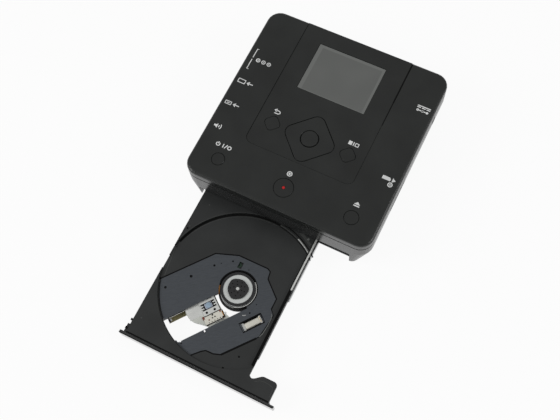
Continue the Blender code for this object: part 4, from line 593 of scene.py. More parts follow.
class Pattern:
    """A Geometry Nodes tree with named inputs that repeats a template."""

    def __init__(self, layout: Layout) -> None:
        """Build the tree.

        Args:
            layout: how the copies are laid out.
        """
        self.tree = bpy.data.node_groups.new(f"copies {layout.value}", "GeometryNodeTree")
        self.keys: dict[str, str] = {}
        self._input("Geometry", "NodeSocketGeometry")
        self.tree.interface.new_socket("Geometry", in_out="OUTPUT", socket_type="NodeSocketGeometry")
        self._input("Template", "NodeSocketObject")
        self._input("Finish", "NodeSocketMaterial")
        for name, kind in {
            Layout.POINTS: (("Spread", "NodeSocketFloat"), ("Seed", "NodeSocketInt")),
            Layout.ROW: (
                ("Count", "NodeSocketInt"), ("Start", "NodeSocketVector"), ("Step", "NodeSocketVector")
            ),
            Layout.WHEEL: (
                ("Count", "NodeSocketInt"), ("Radius", "NodeSocketFloat"), ("Height", "NodeSocketFloat")
            ),
        }[layout]:
            self._input(name, kind)
        self.start = self._node("NodeGroupInput")
        if layout is Layout.POINTS:
            points, turn = self.start.outputs["Geometry"], self._random_turn()
        elif layout is Layout.ROW:
            line = self._node("GeometryNodeMeshLine")
            self._link(self.start.outputs["Count"], line.inputs["Count"])
            self._link(self.start.outputs["Start"], line.inputs["Start Location"])
            self._link(self.start.outputs["Step"], line.inputs["Offset"])
            points, turn = line.outputs[0], None
        else:
            points, turn = self._wheel()
        template = self._node("GeometryNodeObjectInfo")
        self._link(self.start.outputs["Template"], template.inputs["Object"])
        copies = self._node("GeometryNodeInstanceOnPoints")
        self._link(points, copies.inputs["Points"])
        self._link(template.outputs["Geometry"], copies.inputs["Instance"])
        if turn is not None:
            self._link(turn, copies.inputs["Rotation"])
        real = self._node("GeometryNodeRealizeInstances")
        self._link(copies.outputs[0], real.inputs[0])
        dressed = self._node("GeometryNodeSetMaterial")
        self._link(real.outputs[0], dressed.inputs["Geometry"])
        self._link(self.start.outputs["Finish"], dressed.inputs["Material"])
        self._link(dressed.outputs[0], self._node("NodeGroupOutput").inputs[0])

    def _input(self, name: str, kind: str) -> None:
        """Add a named input and keep its identifier."""
        self.keys[name] = self.tree.interface.new_socket(name, in_out="INPUT", socket_type=kind).identifier

    def _node(self, kind: str) -> bpy.types.Node:
        """Add a node."""
        return self.tree.nodes.new(kind)

    def _link(self, source: bpy.types.NodeSocket, target: bpy.types.NodeSocket) -> None:
        """Link two sockets."""
        self.tree.links.new(source, target)

    def _about_z(self, angle: bpy.types.NodeSocket) -> bpy.types.NodeSocket:
        """A turn about Z."""
        turn = self._node("ShaderNodeCombineXYZ")
        self._link(angle, turn.inputs["Z"])
        return turn.outputs[0]

    def _random_turn(self) -> bpy.types.NodeSocket:
        """A random turn about Z between nothing and the spread."""
        chance = self._node("FunctionNodeRandomValue")
        self._link(self.start.outputs["Spread"], chance.inputs[3])
        self._link(self.start.outputs["Seed"], chance.inputs["Seed"])
        return self._about_z(chance.outputs[1])

    def _wheel(self) -> tuple[bpy.types.NodeSocket, bpy.types.NodeSocket]:
        """Points round a circle and the turn of each."""
        ring = self._node("GeometryNodeMeshCircle")
        self._link(self.start.outputs["Count"], ring.inputs["Vertices"])
        self._link(self.start.outputs["Radius"], ring.inputs["Radius"])
        lifted = self._node("GeometryNodeTransform")
        height = self._node("ShaderNodeCombineXYZ")
        self._link(self.start.outputs["Height"], height.inputs["Z"])
        self._link(ring.outputs[0], lifted.inputs["Geometry"])
        self._link(height.outputs[0], lifted.inputs["Translation"])
        share = self._node("ShaderNodeMath")
        share.operation = "DIVIDE"
        self._link(self._node("GeometryNodeInputIndex").outputs[0], share.inputs[0])
        self._link(self.start.outputs["Count"], share.inputs[1])
        full = self._node("ShaderNodeMath")
        full.operation = "MULTIPLY"
        full.inputs[1].default_value = 2 * math.pi
        self._link(share.outputs[0], full.inputs[0])
        return lifted.outputs[0], self._about_z(full.outputs[0])

    def run(
        self,
        template: bpy.types.Mesh,
        points: bpy.types.Mesh | None,
        finish: bpy.types.Material,
        name: str,
        values: dict[str, object],
    ) -> bpy.types.Mesh:
        """Run the tree and return its result as a plain mesh.

        Args:
            template: the mesh to repeat.
            points: the points that the copies stand on, where the layout takes them.
            finish: the material that the tree sets.
            name: the new mesh's name.
            values: values of the tree's other inputs by name.

        Returns:
            The plain mesh.
        """
        carrier = bpy.data.objects.new(f"{name}_carrier", points or bpy.data.meshes.new(f"{name}_empty"))
        pattern = bpy.data.objects.new(f"{name}_pattern", template)
        for item in (carrier, pattern):
            bpy.context.scene.collection.objects.link(item)
        modifier = carrier.modifiers.new("copies", "NODES")
        modifier.node_group = self.tree
        modifier[self.keys["Template"]] = pattern
        modifier[self.keys["Finish"]] = finish
        for key, value in values.items():
            modifier[self.keys[key]] = value
        graph = bpy.context.evaluated_depsgraph_get()
        made = bpy.data.meshes.new_from_object(carrier.evaluated_get(graph))
        made.name = name
        carrier.modifiers.clear()
        for item in (carrier, pattern):
            bpy.data.objects.remove(item)
        return made


# Finishes


@dataclass(frozen=True)
class Plastic:
    """Moulded plastic with a fine grain, faint smudges and a little dust."""

    name: str
    colour: Colour
    roughness: float = 0.42
    grain: float = 5200.0
    depth: float = 0.00003
    smudge: float = 0.05
    coat: float = 0.0
    shine: float = 0.5

    def make(self) -> bpy.types.Material:
        """Build the material."""
        shader = Shader(self.name)
        grain = shader.noise(shader.coords(), self.grain, 2.0)
        cloud = shader.noise(shader.coords(), 38.0, 4.0)
        dust = shader.ramp(shader.noise(shader.coords(), 1900.0, 1.0), 0.70, 0.78)
        pale = tuple(min(1.0, part * 1.22 + 0.002) for part in self.colour)
        dark = tuple(part * 0.86 for part in self.colour)
        base = shader.mix(shader.ramp(cloud, 0.3, 0.7), dark, pale)
        light = tuple(min(1.0, part * 1.9 + 0.01) for part in self.colour)
        base = shader.mix(dust * 0.35, base, light)
        rough = self.roughness + (cloud - 0.5) * self.smudge * 2.0 + (grain - 0.5) * 0.08
        return shader.set(
            Base_Color=base,
            Roughness=rough,
            Normal=shader.bump(grain, self.depth, 0.6),
            Coat_Weight=self.coat,
            Coat_Roughness=0.12,
            Specular_IOR_Level=self.shine,
        )


@dataclass(frozen=True)
class Gloss:
    """Polished plastic with faint smears."""

    name: str
    colour: Colour
    roughness: float = 0.10

    def make(self) -> bpy.types.Material:
        """Build the material."""
        shader = Shader(self.name)
        smear = shader.noise(shader.mapped((1.0, 6.0, 1.0), 0.5), 60.0, 3.0)
        wave = shader.noise(shader.coords(), 130.0, 1.0)
        shade = tuple(part * 1.3 + 0.002 for part in self.colour)
        base = shader.mix(shader.ramp(smear, 0.35, 0.7), self.colour, shade)
        return shader.set(
            Base_Color=base,
            Roughness=self.roughness + shader.ramp(smear, 0.5, 0.8) * 0.08,
            Normal=shader.bump(wave, 0.00004, 0.15),
        )


@dataclass(frozen=True)
class Sheet:
    """Plated or brushed sheet metal with streaks along one direction."""

    name: str
    colour: Colour
    roughness: float = 0.30
    turn: float = 0.0
    streak: float = 0.12
    metallic: float = 1.0

    def make(self) -> bpy.types.Material:
        """Build the material."""
        shader = Shader(self.name)
        streaks = shader.noise(shader.mapped((3.0, 90.0, 3.0), self.turn), 55.0, 4.0)
        cloud = shader.noise(shader.coords(), 70.0, 3.0)
        dark = tuple(part * 0.78 for part in self.colour)
        base = shader.mix(shader.ramp(cloud * 0.5 + streaks * 0.5, 0.35, 0.65), dark, self.colour)
        return shader.set(
            Base_Color=base,
            Roughness=self.roughness + (streaks - 0.5) * self.streak,
            Metallic=self.metallic,
            Normal=shader.bump(streaks, 0.00001, 0.5),
        )


@dataclass(frozen=True)
class Turned:
    """Metal turned or ground about an upright axis."""

    name: str
    colour: Colour
    centre: Spot
    roughness: float = 0.22
    pitch: float = 9000.0
    metallic: float = 0.45

    def make(self) -> bpy.types.Material:
        """Build the material."""
        shader = Shader(self.name)
        place = shader.mapped((1.0, 1.0, 0.0), 0.0, self.centre)
        radius = shader.node("ShaderNodeVectorMath", {"operation": "LENGTH"}, {0: place}, "Value")
        rings = shader.noise(shader.node("ShaderNodeCombineXYZ", None, {0: radius}), self.pitch, 2.0)
        cloud = shader.noise(shader.coords(), 200.0, 2.0)
        dark = tuple(part * 0.80 for part in self.colour)
        base = shader.mix(rings * 0.6 + cloud * 0.4, dark, self.colour)
        return shader.set(
            Base_Color=base,
            Roughness=self.roughness + (rings - 0.5) * 0.16,
            Metallic=self.metallic,
            Normal=shader.bump(rings, 0.00001, 0.5),
        )


@dataclass(frozen=True)
class Coated:
    """Coated steel sheet: a soft sheen with a fine speckle."""

    name: str
    colour: Colour
    roughness: float = 0.42
    metallic: float = 0.55

    def make(self) -> bpy.types.Material:
        """Build the material."""
        shader = Shader(self.name)
        speckle = shader.noise(shader.coords(), 4200.0, 2.0)
        streaks = shader.noise(shader.mapped((4.0, 60.0, 4.0), 0.66), 60.0, 3.0)
        dark = tuple(part * 0.80 for part in self.colour)
        pale = tuple(part * 1.25 for part in self.colour)
        base = shader.mix(shader.ramp(streaks * 0.6 + speckle * 0.4, 0.3, 0.7), dark, pale)
        return shader.set(
            Base_Color=base,
            Roughness=self.roughness + (speckle - 0.5) * 0.2,
            Metallic=self.metallic,
            Normal=shader.bump(speckle, 0.00002, 0.4),
        )


@dataclass(frozen=True)
class Rubber:
    """Matt rubber with a fine mottle."""

    name: str
    colour: Colour = (0.015, 0.015, 0.016)

    def make(self) -> bpy.types.Material:
        """Build the material."""
        shader = Shader(self.name)
        mottle = shader.noise(shader.coords(), 2600.0, 3.0)
        pale = tuple(part * 1.7 for part in self.colour)
        return shader.set(
            Base_Color=shader.mix(mottle, self.colour, pale),
            Roughness=0.72 + mottle * 0.2,
            Normal=shader.bump(mottle, 0.00005, 0.5),
        )


@dataclass(frozen=True)
class Board:
    """A circuit board: copper tracks under green lacquer."""

    name: str

    def make(self) -> bpy.types.Material:
        """Build the material."""
        shader = Shader(self.name)
        tracks = shader.node(
            "ShaderNodeTexBrick",
            {"offset": 0.37, "squash": 0.6, "squash_frequency": 3},
            {
                "Vector": shader.mapped((1.0, 1.0, 0.0)),
                "Scale": 160.0,
                "Mortar Size": 0.10,
                "Mortar Smooth": 0.4,
                "Brick Width": 1.7,
                "Row Height": 0.24,
            },
            "Fac",
        )
        cloud = shader.noise(shader.coords(), 60.0, 2.0)
        vias = shader.node(
            "ShaderNodeTexVoronoi", None, {"Vector": shader.mapped((1, 1, 0)), "Scale": 420.0}, "Distance"
        )
        green = shader.mix(tracks, (0.010, 0.090, 0.040), (0.020, 0.160, 0.075))
        base = shader.mix(shader.ramp(vias, 0.10, 0.06), green, (0.50, 0.40, 0.16))
        return shader.set(
            Base_Color=base, Roughness=0.34 + cloud * 0.2, Normal=shader.bump(tracks, 0.00003, 0.6)
        )


@dataclass(frozen=True)
class Film:
    """Flexible circuit: copper lines under a tinted film."""

    name: str
    colour: Colour
    line: Colour
    turn: float = 0.0
    pitch: float = 0.0007

    def make(self) -> bpy.types.Material:
        """Build the material."""
        shader = Shader(self.name)
        across, _, _ = shader.parts(shader.mapped((1.0, 1.0, 1.0), self.turn))
        lines = shader.ramp(abs((across / self.pitch) % 1.0 - 0.5), 0.22, 0.28)
        wave = shader.noise(shader.coords(), 220.0, 2.0)
        return shader.set(
            Base_Color=shader.mix(lines * 0.7, self.colour, self.line),
            Roughness=0.26 + wave * 0.2,
            Metallic=lines * 0.3,
            Normal=shader.bump(lines + wave * 0.5, 0.00003, 0.5),
        )


@dataclass(frozen=True)
class Screen:
    """An unlit liquid-crystal screen: grey-green with a fine pixel grid."""

    name: str
    colour: Colour

    def make(self) -> bpy.types.Material:
        """Build the material."""
        shader = Shader(self.name)
        across, along, _ = shader.parts(shader.coords())
        grid = shader.ramp(abs((across / 0.00024) % 1.0 - 0.5), 0.30, 0.42) * 0.5
        rows = shader.ramp(abs((along / 0.00024) % 1.0 - 0.5), 0.30, 0.42) * 0.5
        cloud = shader.noise(shader.coords(), 26.0, 2.0)
        dark = tuple(part * 0.92 for part in self.colour)
        pale = tuple(part * 1.06 for part in self.colour)
        base = shader.mix(shader.ramp(cloud, 0.3, 0.7), dark, pale)
        base = shader.mix((grid + rows) * 0.12, base, tuple(part * 0.5 for part in self.colour))
        inside = shader.ramp(
            abs(across - 0.0006), 0.0262, 0.0258
        ) * shader.ramp(abs(along - 0.1066), 0.0203, 0.0199)
        base = shader.mix(inside, tuple(part * 1.22 for part in self.colour), base)
        return shader.set(Base_Color=base, Roughness=0.16 + cloud * 0.06)


class Finish(Enum):
    """Every finish on the recorder, by its use."""

    CASE = Plastic("case_satin", (0.0125, 0.0140, 0.0130), 0.30)
    SHELL = Plastic("shell_satin", (0.024, 0.025, 0.025), 0.26)
    BEZEL = Plastic("bezel_satin", (0.016, 0.017, 0.017), 0.16, depth=0.00001, smudge=0.02, coat=0.7)
    PANEL = Plastic("panel_satin", (0.0118, 0.0132, 0.0122), 0.30)
    WINDOW = Plastic("window_satin", (0.0118, 0.0132, 0.0122), 0.29)
    KEY = Plastic("key_satin", (0.0122, 0.0136, 0.0126), 0.31)
    TRAY = Plastic("tray_plastic", (0.0165, 0.0180, 0.0178), 0.42)
    FRAME = Plastic("traverse_plastic", (0.012, 0.012, 0.013), 0.48)
    SOCKET = Plastic("socket_plastic", (0.014, 0.014, 0.015), 0.40)
    RESIN = Plastic("natural_resin", (0.60, 0.56, 0.47), 0.42)
    LAMP = Gloss("red_dot", (0.50, 0.012, 0.014), 0.25)
    SCREEN = Screen("screen_grey", (0.136, 0.141, 0.135))
    RUBBER = Rubber("rubber")
    STEEL = Sheet("plated_sheet", (0.58, 0.59, 0.59), 0.32)
    ROD = Sheet("ground_rod", (0.80, 0.81, 0.81), 0.16, math.radians(-127.37), 0.06)
    RING = Turned("turned_ring", (0.84, 0.87, 0.85), (-0.0010, -0.0753, 0.0))
    COVER = Coated("coated_cover", (0.080, 0.088, 0.099))
    BOARD = Board("board_green")
    SLED = Sheet("cast_sled", (0.74, 0.76, 0.70), 0.40, 0.4, 0.1, 0.30)
    # light blue-grey: the lens coating's own tint, lightened as a painted highlight
    LENS = Gloss("lens_glass", (0.30, 0.40, 0.50), 0.05)
    AMBER = Film("amber_film", (0.46, 0.19, 0.035), (0.62, 0.32, 0.10))
    OLIVE = Film("olive_film", (0.23, 0.21, 0.10), (0.34, 0.30, 0.15))
    WHITE = Plastic("print_white", (0.78, 0.79, 0.78), 0.40)
    # near-black with almost no specular: painted shade in grooves, gaps and edge lines, and also the colour
    # of small black parts
    SHADOW = Plastic("deep_black", (0.004, 0.004, 0.004), 0.60, shine=0.08)
    # lighter grey than the tray: a painted highlight for the tray's lit edges; the tray pips use it too
    TRAY_EDGE = Plastic("tray_edge_highlight", (0.048, 0.050, 0.048), 0.34)
    NICKEL = Sheet("nickel", (0.78, 0.78, 0.76), 0.24, 0.0, 0.1, 0.75)
    PALE_METAL = Sheet("pale_plate", (0.80, 0.81, 0.78), 0.38, 0.4, 0.1, 0.25)
    # grey steel for the tray screw, also used for the tray's painted glints
    GREY_STEEL = Sheet("grey_glint_steel", (0.20, 0.21, 0.20), 0.40, 0.0, 0.1, 0.3)
    GOLD = Sheet("gilt_contact", (0.78, 0.56, 0.22), 0.25, 0.0, 0.1)
    COPPER = Sheet("wound_copper", (0.60, 0.27, 0.13), 0.34, 0.8, 0.2, 0.8)
    BLACK_STEEL = Sheet("blackened_screw", (0.030, 0.030, 0.032), 0.34, 0.0, 0.1, 0.6)
    CREAM = Plastic("cream_resin", (0.68, 0.66, 0.58), 0.40)
    RUST = Plastic("red_brown_resin", (0.16, 0.030, 0.016), 0.35)
    HOLDER = Plastic("holder_grey_blue", (0.34, 0.37, 0.44), 0.36)
    PAD_GREEN = Plastic("test_pad_green", (0.006, 0.030, 0.014), 0.40)


class Palette:
    """Makes each finish once, on its first use."""

    def __init__(self) -> None:
        """Start with nothing made."""
        self._made: dict[Finish, bpy.types.Material] = {}

    def get(self, finish: Finish) -> bpy.types.Material:
        """The material of a finish."""
        if finish not in self._made:
            self._made[finish] = finish.value.make()
        return self._made[finish]

    def dress(self, finish: Finish, *nodes: str) -> None:
        """Give carried-over solids a finish.

        Args:
            finish: the finish that they get.
            nodes: their names.
        """
        for node in nodes:
            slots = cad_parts[node].data.materials
            slots.clear()
            slots.append(self.get(finish))


# Sub-assemblies


@dataclass
class TopMarks:
    """White pictograms printed beside the keys and above the sockets."""

    line: float = 0.80
    film: float = 0.05
    grow: float = 1.25
    jacks: Point = (-61.0, 169.4)
    video: Point = (-67.0, 147.2)
    data: Point = (-67.6, 125.7)
    sound: Point = (-69.0, 104.0)
    power: Point = (-56.7, 90.6)
    back: Point = (-31.8, 134.6)
    stop: Point = (33.4, 134.6)
    record: Point = (0.2, 91.2)
    eject: Point = (56.6, 90.3)
    inlet: Point = (70.0, 184.3)
    card: Point = (69.6, 119.0)

    def _stroke(self, draft: Draft, centre: Point, *path: Point) -> None:
        """Lay a line given from a mark's centre."""
        draft.strip(
            [(centre[0] + self.grow * x, centre[1] + self.grow * y) for x, y in path], self.line, 0.0,
            self.film
        )

    def _fill(self, draft: Draft, centre: Point, *outline: Point) -> None:
        """Fill an outline given from a mark's centre."""
        draft.slab(
            [(centre[0] + self.grow * x, centre[1] + self.grow * y) for x, y in outline], 0.0, self.film
        )

    def _ring(self, draft: Draft, centre: Point, shift: Point, radius: float) -> None:
        """A ring given from a mark's centre."""
        middle = (centre[0] + self.grow * shift[0], centre[1] + self.grow * shift[1])
        outer = self.grow * radius
        draft.ring(middle, outer - self.line, outer, 0.0, self.film, 0.01, 28)

    def _dot(self, draft: Draft, centre: Point, shift: Point, radius: float) -> None:
        """A disc given from a mark's centre."""
        middle = (centre[0] + self.grow * shift[0], centre[1] + self.grow * shift[1])
        draft.disc(middle, self.grow * radius, 0.0, self.film, 0.01, 24)

    def _frame(self, draft: Draft, centre: Point, left: float, right: float, half: float) -> None:
        """A rounded frame given from a mark's centre."""
        ends = (centre[0] + self.grow * left, centre[0] + self.grow * right)
        rise, line = self.grow * half, self.line * 0.85
        draft.hoop(
            round_box(ends[0], ends[1], centre[1] - rise, centre[1] + rise, 0.6),
            round_box(
                ends[0] + line, ends[1] - line, centre[1] - rise + line, centre[1] + rise - line, 0.3
            ),
            0.0, self.film, 0.01,
        )

    def _arrow(self, draft: Draft, centre: Point) -> None:
        """An arrow into a socket at the left."""
        self._fill(draft, centre, (-2.2, 0.0), (-0.3, -1.5), (-0.3, 1.5))
        self._stroke(draft, centre, (-0.5, 0.0), (2.2, 0.0))

    def _sockets(self, draft: Draft) -> None:
        """The marks at the left and right edges."""
        for reach in (-4.4, -0.6, 3.2):
            self._ring(draft, self.jacks, (reach, 0.0), 1.45)
            self._dot(draft, self.jacks, (reach, 0.0), 0.4)
        for path in (
            ((-70.2, 178.6), (-71.6, 178.6), (-71.6, 170.2)),
            ((-71.6, 168.6), (-71.6, 159.2), (-70.2, 159.2))
        ):
            draft.strip(path, self.line * 0.8, 0.0, self.film)
        self._frame(draft, self.video, -4.9, 0.4, 1.55)
        self._arrow(draft, (self.video[0] + 4.2, self.video[1]))
        self._frame(draft, self.data, -4.7, -0.2, 1.3)
        self._stroke(draft, self.data, (-3.3, 0.0), (-1.6, 0.0))
        self._arrow(draft, (self.data[0] + 3.6, self.data[1]))
        self._fill(
            draft, self.sound, (-2.2, -0.6), (-1.1, -0.6), (0.1, -1.6), (0.1, 1.6), (-1.1, 0.6), (-2.2, 0.6)
        )
        for radius in (1.5, 3.2):
            draft.strip(arc_points(radius, -40, 40, self.sound, 10), self.line * 0.85, 0.0, self.film)
        self._stroke(draft, self.inlet, (-4.3, 1.45), (4.3, 1.45))
        for start in (-4.3, -1.2, 1.9):
            self._stroke(draft, self.inlet, (start, 0.35), (start + 2.4, 0.35))
        self._ring(draft, self.inlet, (-3.2, -1.7), 0.85)
        self._stroke(draft, self.inlet, (-2.3, -1.7), (2.0, -1.7))
        self._dot(draft, self.inlet, (0.0, -1.7), 0.75)
        self._dot(draft, self.inlet, (3.0, -1.7), 0.8)
        self._fill(draft, self.card, (-4.2, -1.0), (1.2, -1.0), (1.2, 0.5), (0.4, 1.3), (-4.2, 1.3))
        self._fill(draft, self.card, (4.4, 0.2), (2.2, -1.3), (2.2, 1.7))
        self._ring(draft, self.card, (2.1, -3.1), 1.6)
        self._dot(draft, self.card, (2.1, -3.1), 0.5)

    def _keys(self, draft: Draft) -> None:
        """The marks beside the power, record and eject keys."""
        spot = (self.power[0] - 4.4, self.power[1])
        draft.strip(arc_points(1.45, 125, 415, spot, 24), self.line * 0.9, 0.0, self.film)
        self._stroke(draft, spot, (0.0, 0.2), (0.0, 1.6))
        self._stroke(draft, self.power, (0.0, -1.3), (0.0, 1.3))
        self._stroke(draft, self.power, (1.2, -1.4), (2.5, 1.4))
        self._ring(draft, self.power, (4.3, 0.0), 1.4)
        self._ring(draft, self.record, (0.0, 0.0), 1.75)
        self._dot(draft, self.record, (0.0, 0.0), 0.75)
        self._fill(draft, self.eject, (-1.9, -0.2), (1.9, -0.2), (0.0, 1.7))
        self._fill(draft, self.eject, (-1.9, -1.5), (1.9, -1.5), (1.9, -0.75), (-1.9, -0.75))

    def _panel(self, draft: Draft) -> None:
        """The marks beside the back and stop keys."""
        self._stroke(
            draft, self.back, (-1.2, 0.9), (1.0, 0.9), (1.9, 0.2), (1.9, -0.5), (1.0, -1.2), (-1.6, -1.2)
        )
        self._fill(draft, self.back, (-2.4, 0.9), (-0.7, -0.4), (-0.7, 2.2))
        self._fill(draft, self.stop, (-3.2, -1.3), (-0.9, -1.3), (-0.9, 1.3), (-3.2, 1.3))
        self._stroke(draft, self.stop, (0.1, -1.3), (0.1, 1.3))
        self._frame(draft, self.stop, 1.0, 3.6, 1.3)

    def build(self, shop: Workshop) -> None:
        """Print the marks."""
        for place, name, draw in (
            (TOP, "print_sockets", self._sockets), (TOP, "print_keys", self._keys),
            (PANEL, "print_panel", self._panel)
        ):
            draft = Draft(place)
            draw(draft)
            shop.piece(draft, name, Finish.WHITE, "case")


@dataclass
class PanelTrim:
    """The seam between key panel and screen window, closed by a thin strip."""

    half_width: float = 45.3
    split: float = 150.4
    reach: float = 0.35

    def build(self, shop: Workshop) -> None:
        """Close the seam."""
        draft = Draft(PANEL)
        draft.slab(
            round_box(
                1.0 - self.half_width, 1.0 + self.half_width, self.split - self.reach,
                self.split + self.reach, 0.1, 1
            ),
            -1.0, -0.02
        )
        shop.piece(draft, "panel_seam_strip", Finish.PANEL, "case")
        # Painted shade: a black line in the gap along the screen window's right edge.
        edge = 1.0 + self.half_width + 0.40
        line = Draft(TOP)
        line.strip([(edge, 180.0), (edge, 217.6)], 1.1, -0.02, 0.02)
        line.strip([(edge, 158.0), (edge, 180.0)], 0.7, -0.02, 0.02)
        shop.piece(line, "window_edge_line", Finish.SHADOW, "case")


@dataclass
class SocketFittings:
    """Metal liners, collars, contacts and the inlet's pin inside the sockets at the sides."""

    axis: float = 28.2
    wall: float = 78.3
    jack_places: tuple[float, ...] = (72.2, 86.45, 100.7)
    video_place: float = 50.3
    data_place: float = 28.7
    card_place: float = 41.2
    card_axis: float = 27.0
    inlet_place: float = 111.2

    def build(self, shop: Workshop) -> None:
        """Fit the sockets out."""
        sideways = Matrix.Rotation(math.radians(-90), 4, "Y")
        left = Matrix.Translation((-self.wall, 0.0, 0.0))
        liner = Draft(sideways)
        liner.ring((0.0, 0.0), 1.75, 2.55, -0.2, 0.35, 0.1, 40)
        liner.ring((0.0, 0.0), 1.75, 1.95, -5.0, -0.2, 0.02, 40)
        shop.repeat(
            liner, [(0.5, place, self.axis) for place in self.jack_places], left, "jack_liners",
            Finish.NICKEL, "case"
        )
        collar = Draft(sideways)
        collar.ring((0.0, 0.0), 2.75, 3.55, -0.2, 0.12, 0.05, 48)
        shop.repeat(
            collar, [(0.5, place, self.axis) for place in self.jack_places], left, "jack_collars",
            Finish.SOCKET, "case"
        )
        contact = Draft()
        contact.block(-3.0, 3.0, -0.2, 0.2, 0.0, 0.12, 0.03)
        shop.row(
            contact, 9, (4.6, self.video_place - 4.4, self.axis + 0.8), (0.0, 1.1, 0.0), left,
            "video_contacts", Finish.GOLD, "case"
        )
        shop.row(
            contact, 4, (4.6, self.data_place - 3.3, self.axis + 0.8), (0.0, 2.2, 0.0), left,
            "data_contacts", Finish.GOLD, "case"
        )
        right = Matrix.Translation((self.wall, 0.0, 0.0))
        shop.row(
            contact, 9, (-14.0, self.card_place - 10.0, self.card_axis - 1.15), (0.0, 2.5, 0.0), right,
            "card_contacts", Finish.GOLD, "case"
        )
        pin = Draft(
            right @ Matrix.Translation(
                (0.0, self.inlet_place, self.axis)
            ) @ Matrix.Rotation(math.radians(90), 4, "Y")
        )
        pin.ring((0.0, 0.0), 3.15, 3.75, -3.2, -2.6, 0.1, 48)
        pin.ring((0.0, 0.0), 1.0, 1.12, -11.0, -4.2, 0.03, 24)
        shop.piece(pin, "inlet_rim", Finish.NICKEL, "case")
        surround = Draft(
            right @ Matrix.Translation(
                (0.0, self.inlet_place, self.axis)
            ) @ Matrix.Rotation(math.radians(90), 4, "Y")
        )
        surround.ring((0.0, 0.0), 3.2, 4.1, -0.3, -0.02, 0.02, 48)
        shop.piece(surround, "inlet_surround", Finish.SHADOW, "case")


@dataclass
class Underside:
    """Screws that hold the base plate and rings moulded in the feet."""

    foot_x: float = 57.8
    front: float = -0.2
    back: float = 131.7

    def build(self, shop: Workshop) -> None:
        """Set the screws and the foot rings."""
        facing = Matrix.Rotation(math.pi, 4, "X")
        head = Draft(facing)
        head.screw_head(2.1, 0.7)
        head.ring((0.0, 0.0), 2.3, 2.9, -0.4, 0.06, 0.02, 40)
        spots = [
            (side * (self.foot_x - shift), y, 2.0)
            for side in (-1, 1) for y, shift in ((self.front + 14.0, 0.0), (self.back - 14.0, 0.0))
        ]
        shop.repeat(head, spots, WORLD, "base_screws", Finish.BLACK_STEEL, "case", math.pi / 2, 7)
        ring = Draft(facing)
        ring.ring((0.0, 0.0), 2.9, 3.3, 0.0, 0.22, 0.06, 40)
        feet = [
            (side * self.foot_x, y + shift, 0.3) for side in (-1, 1) for y,
            shift in ((self.front, 0.0), (self.back, 0.0))
        ]
        shop.repeat(ring, feet, WORLD, "foot_rings", Finish.RUBBER, "case")


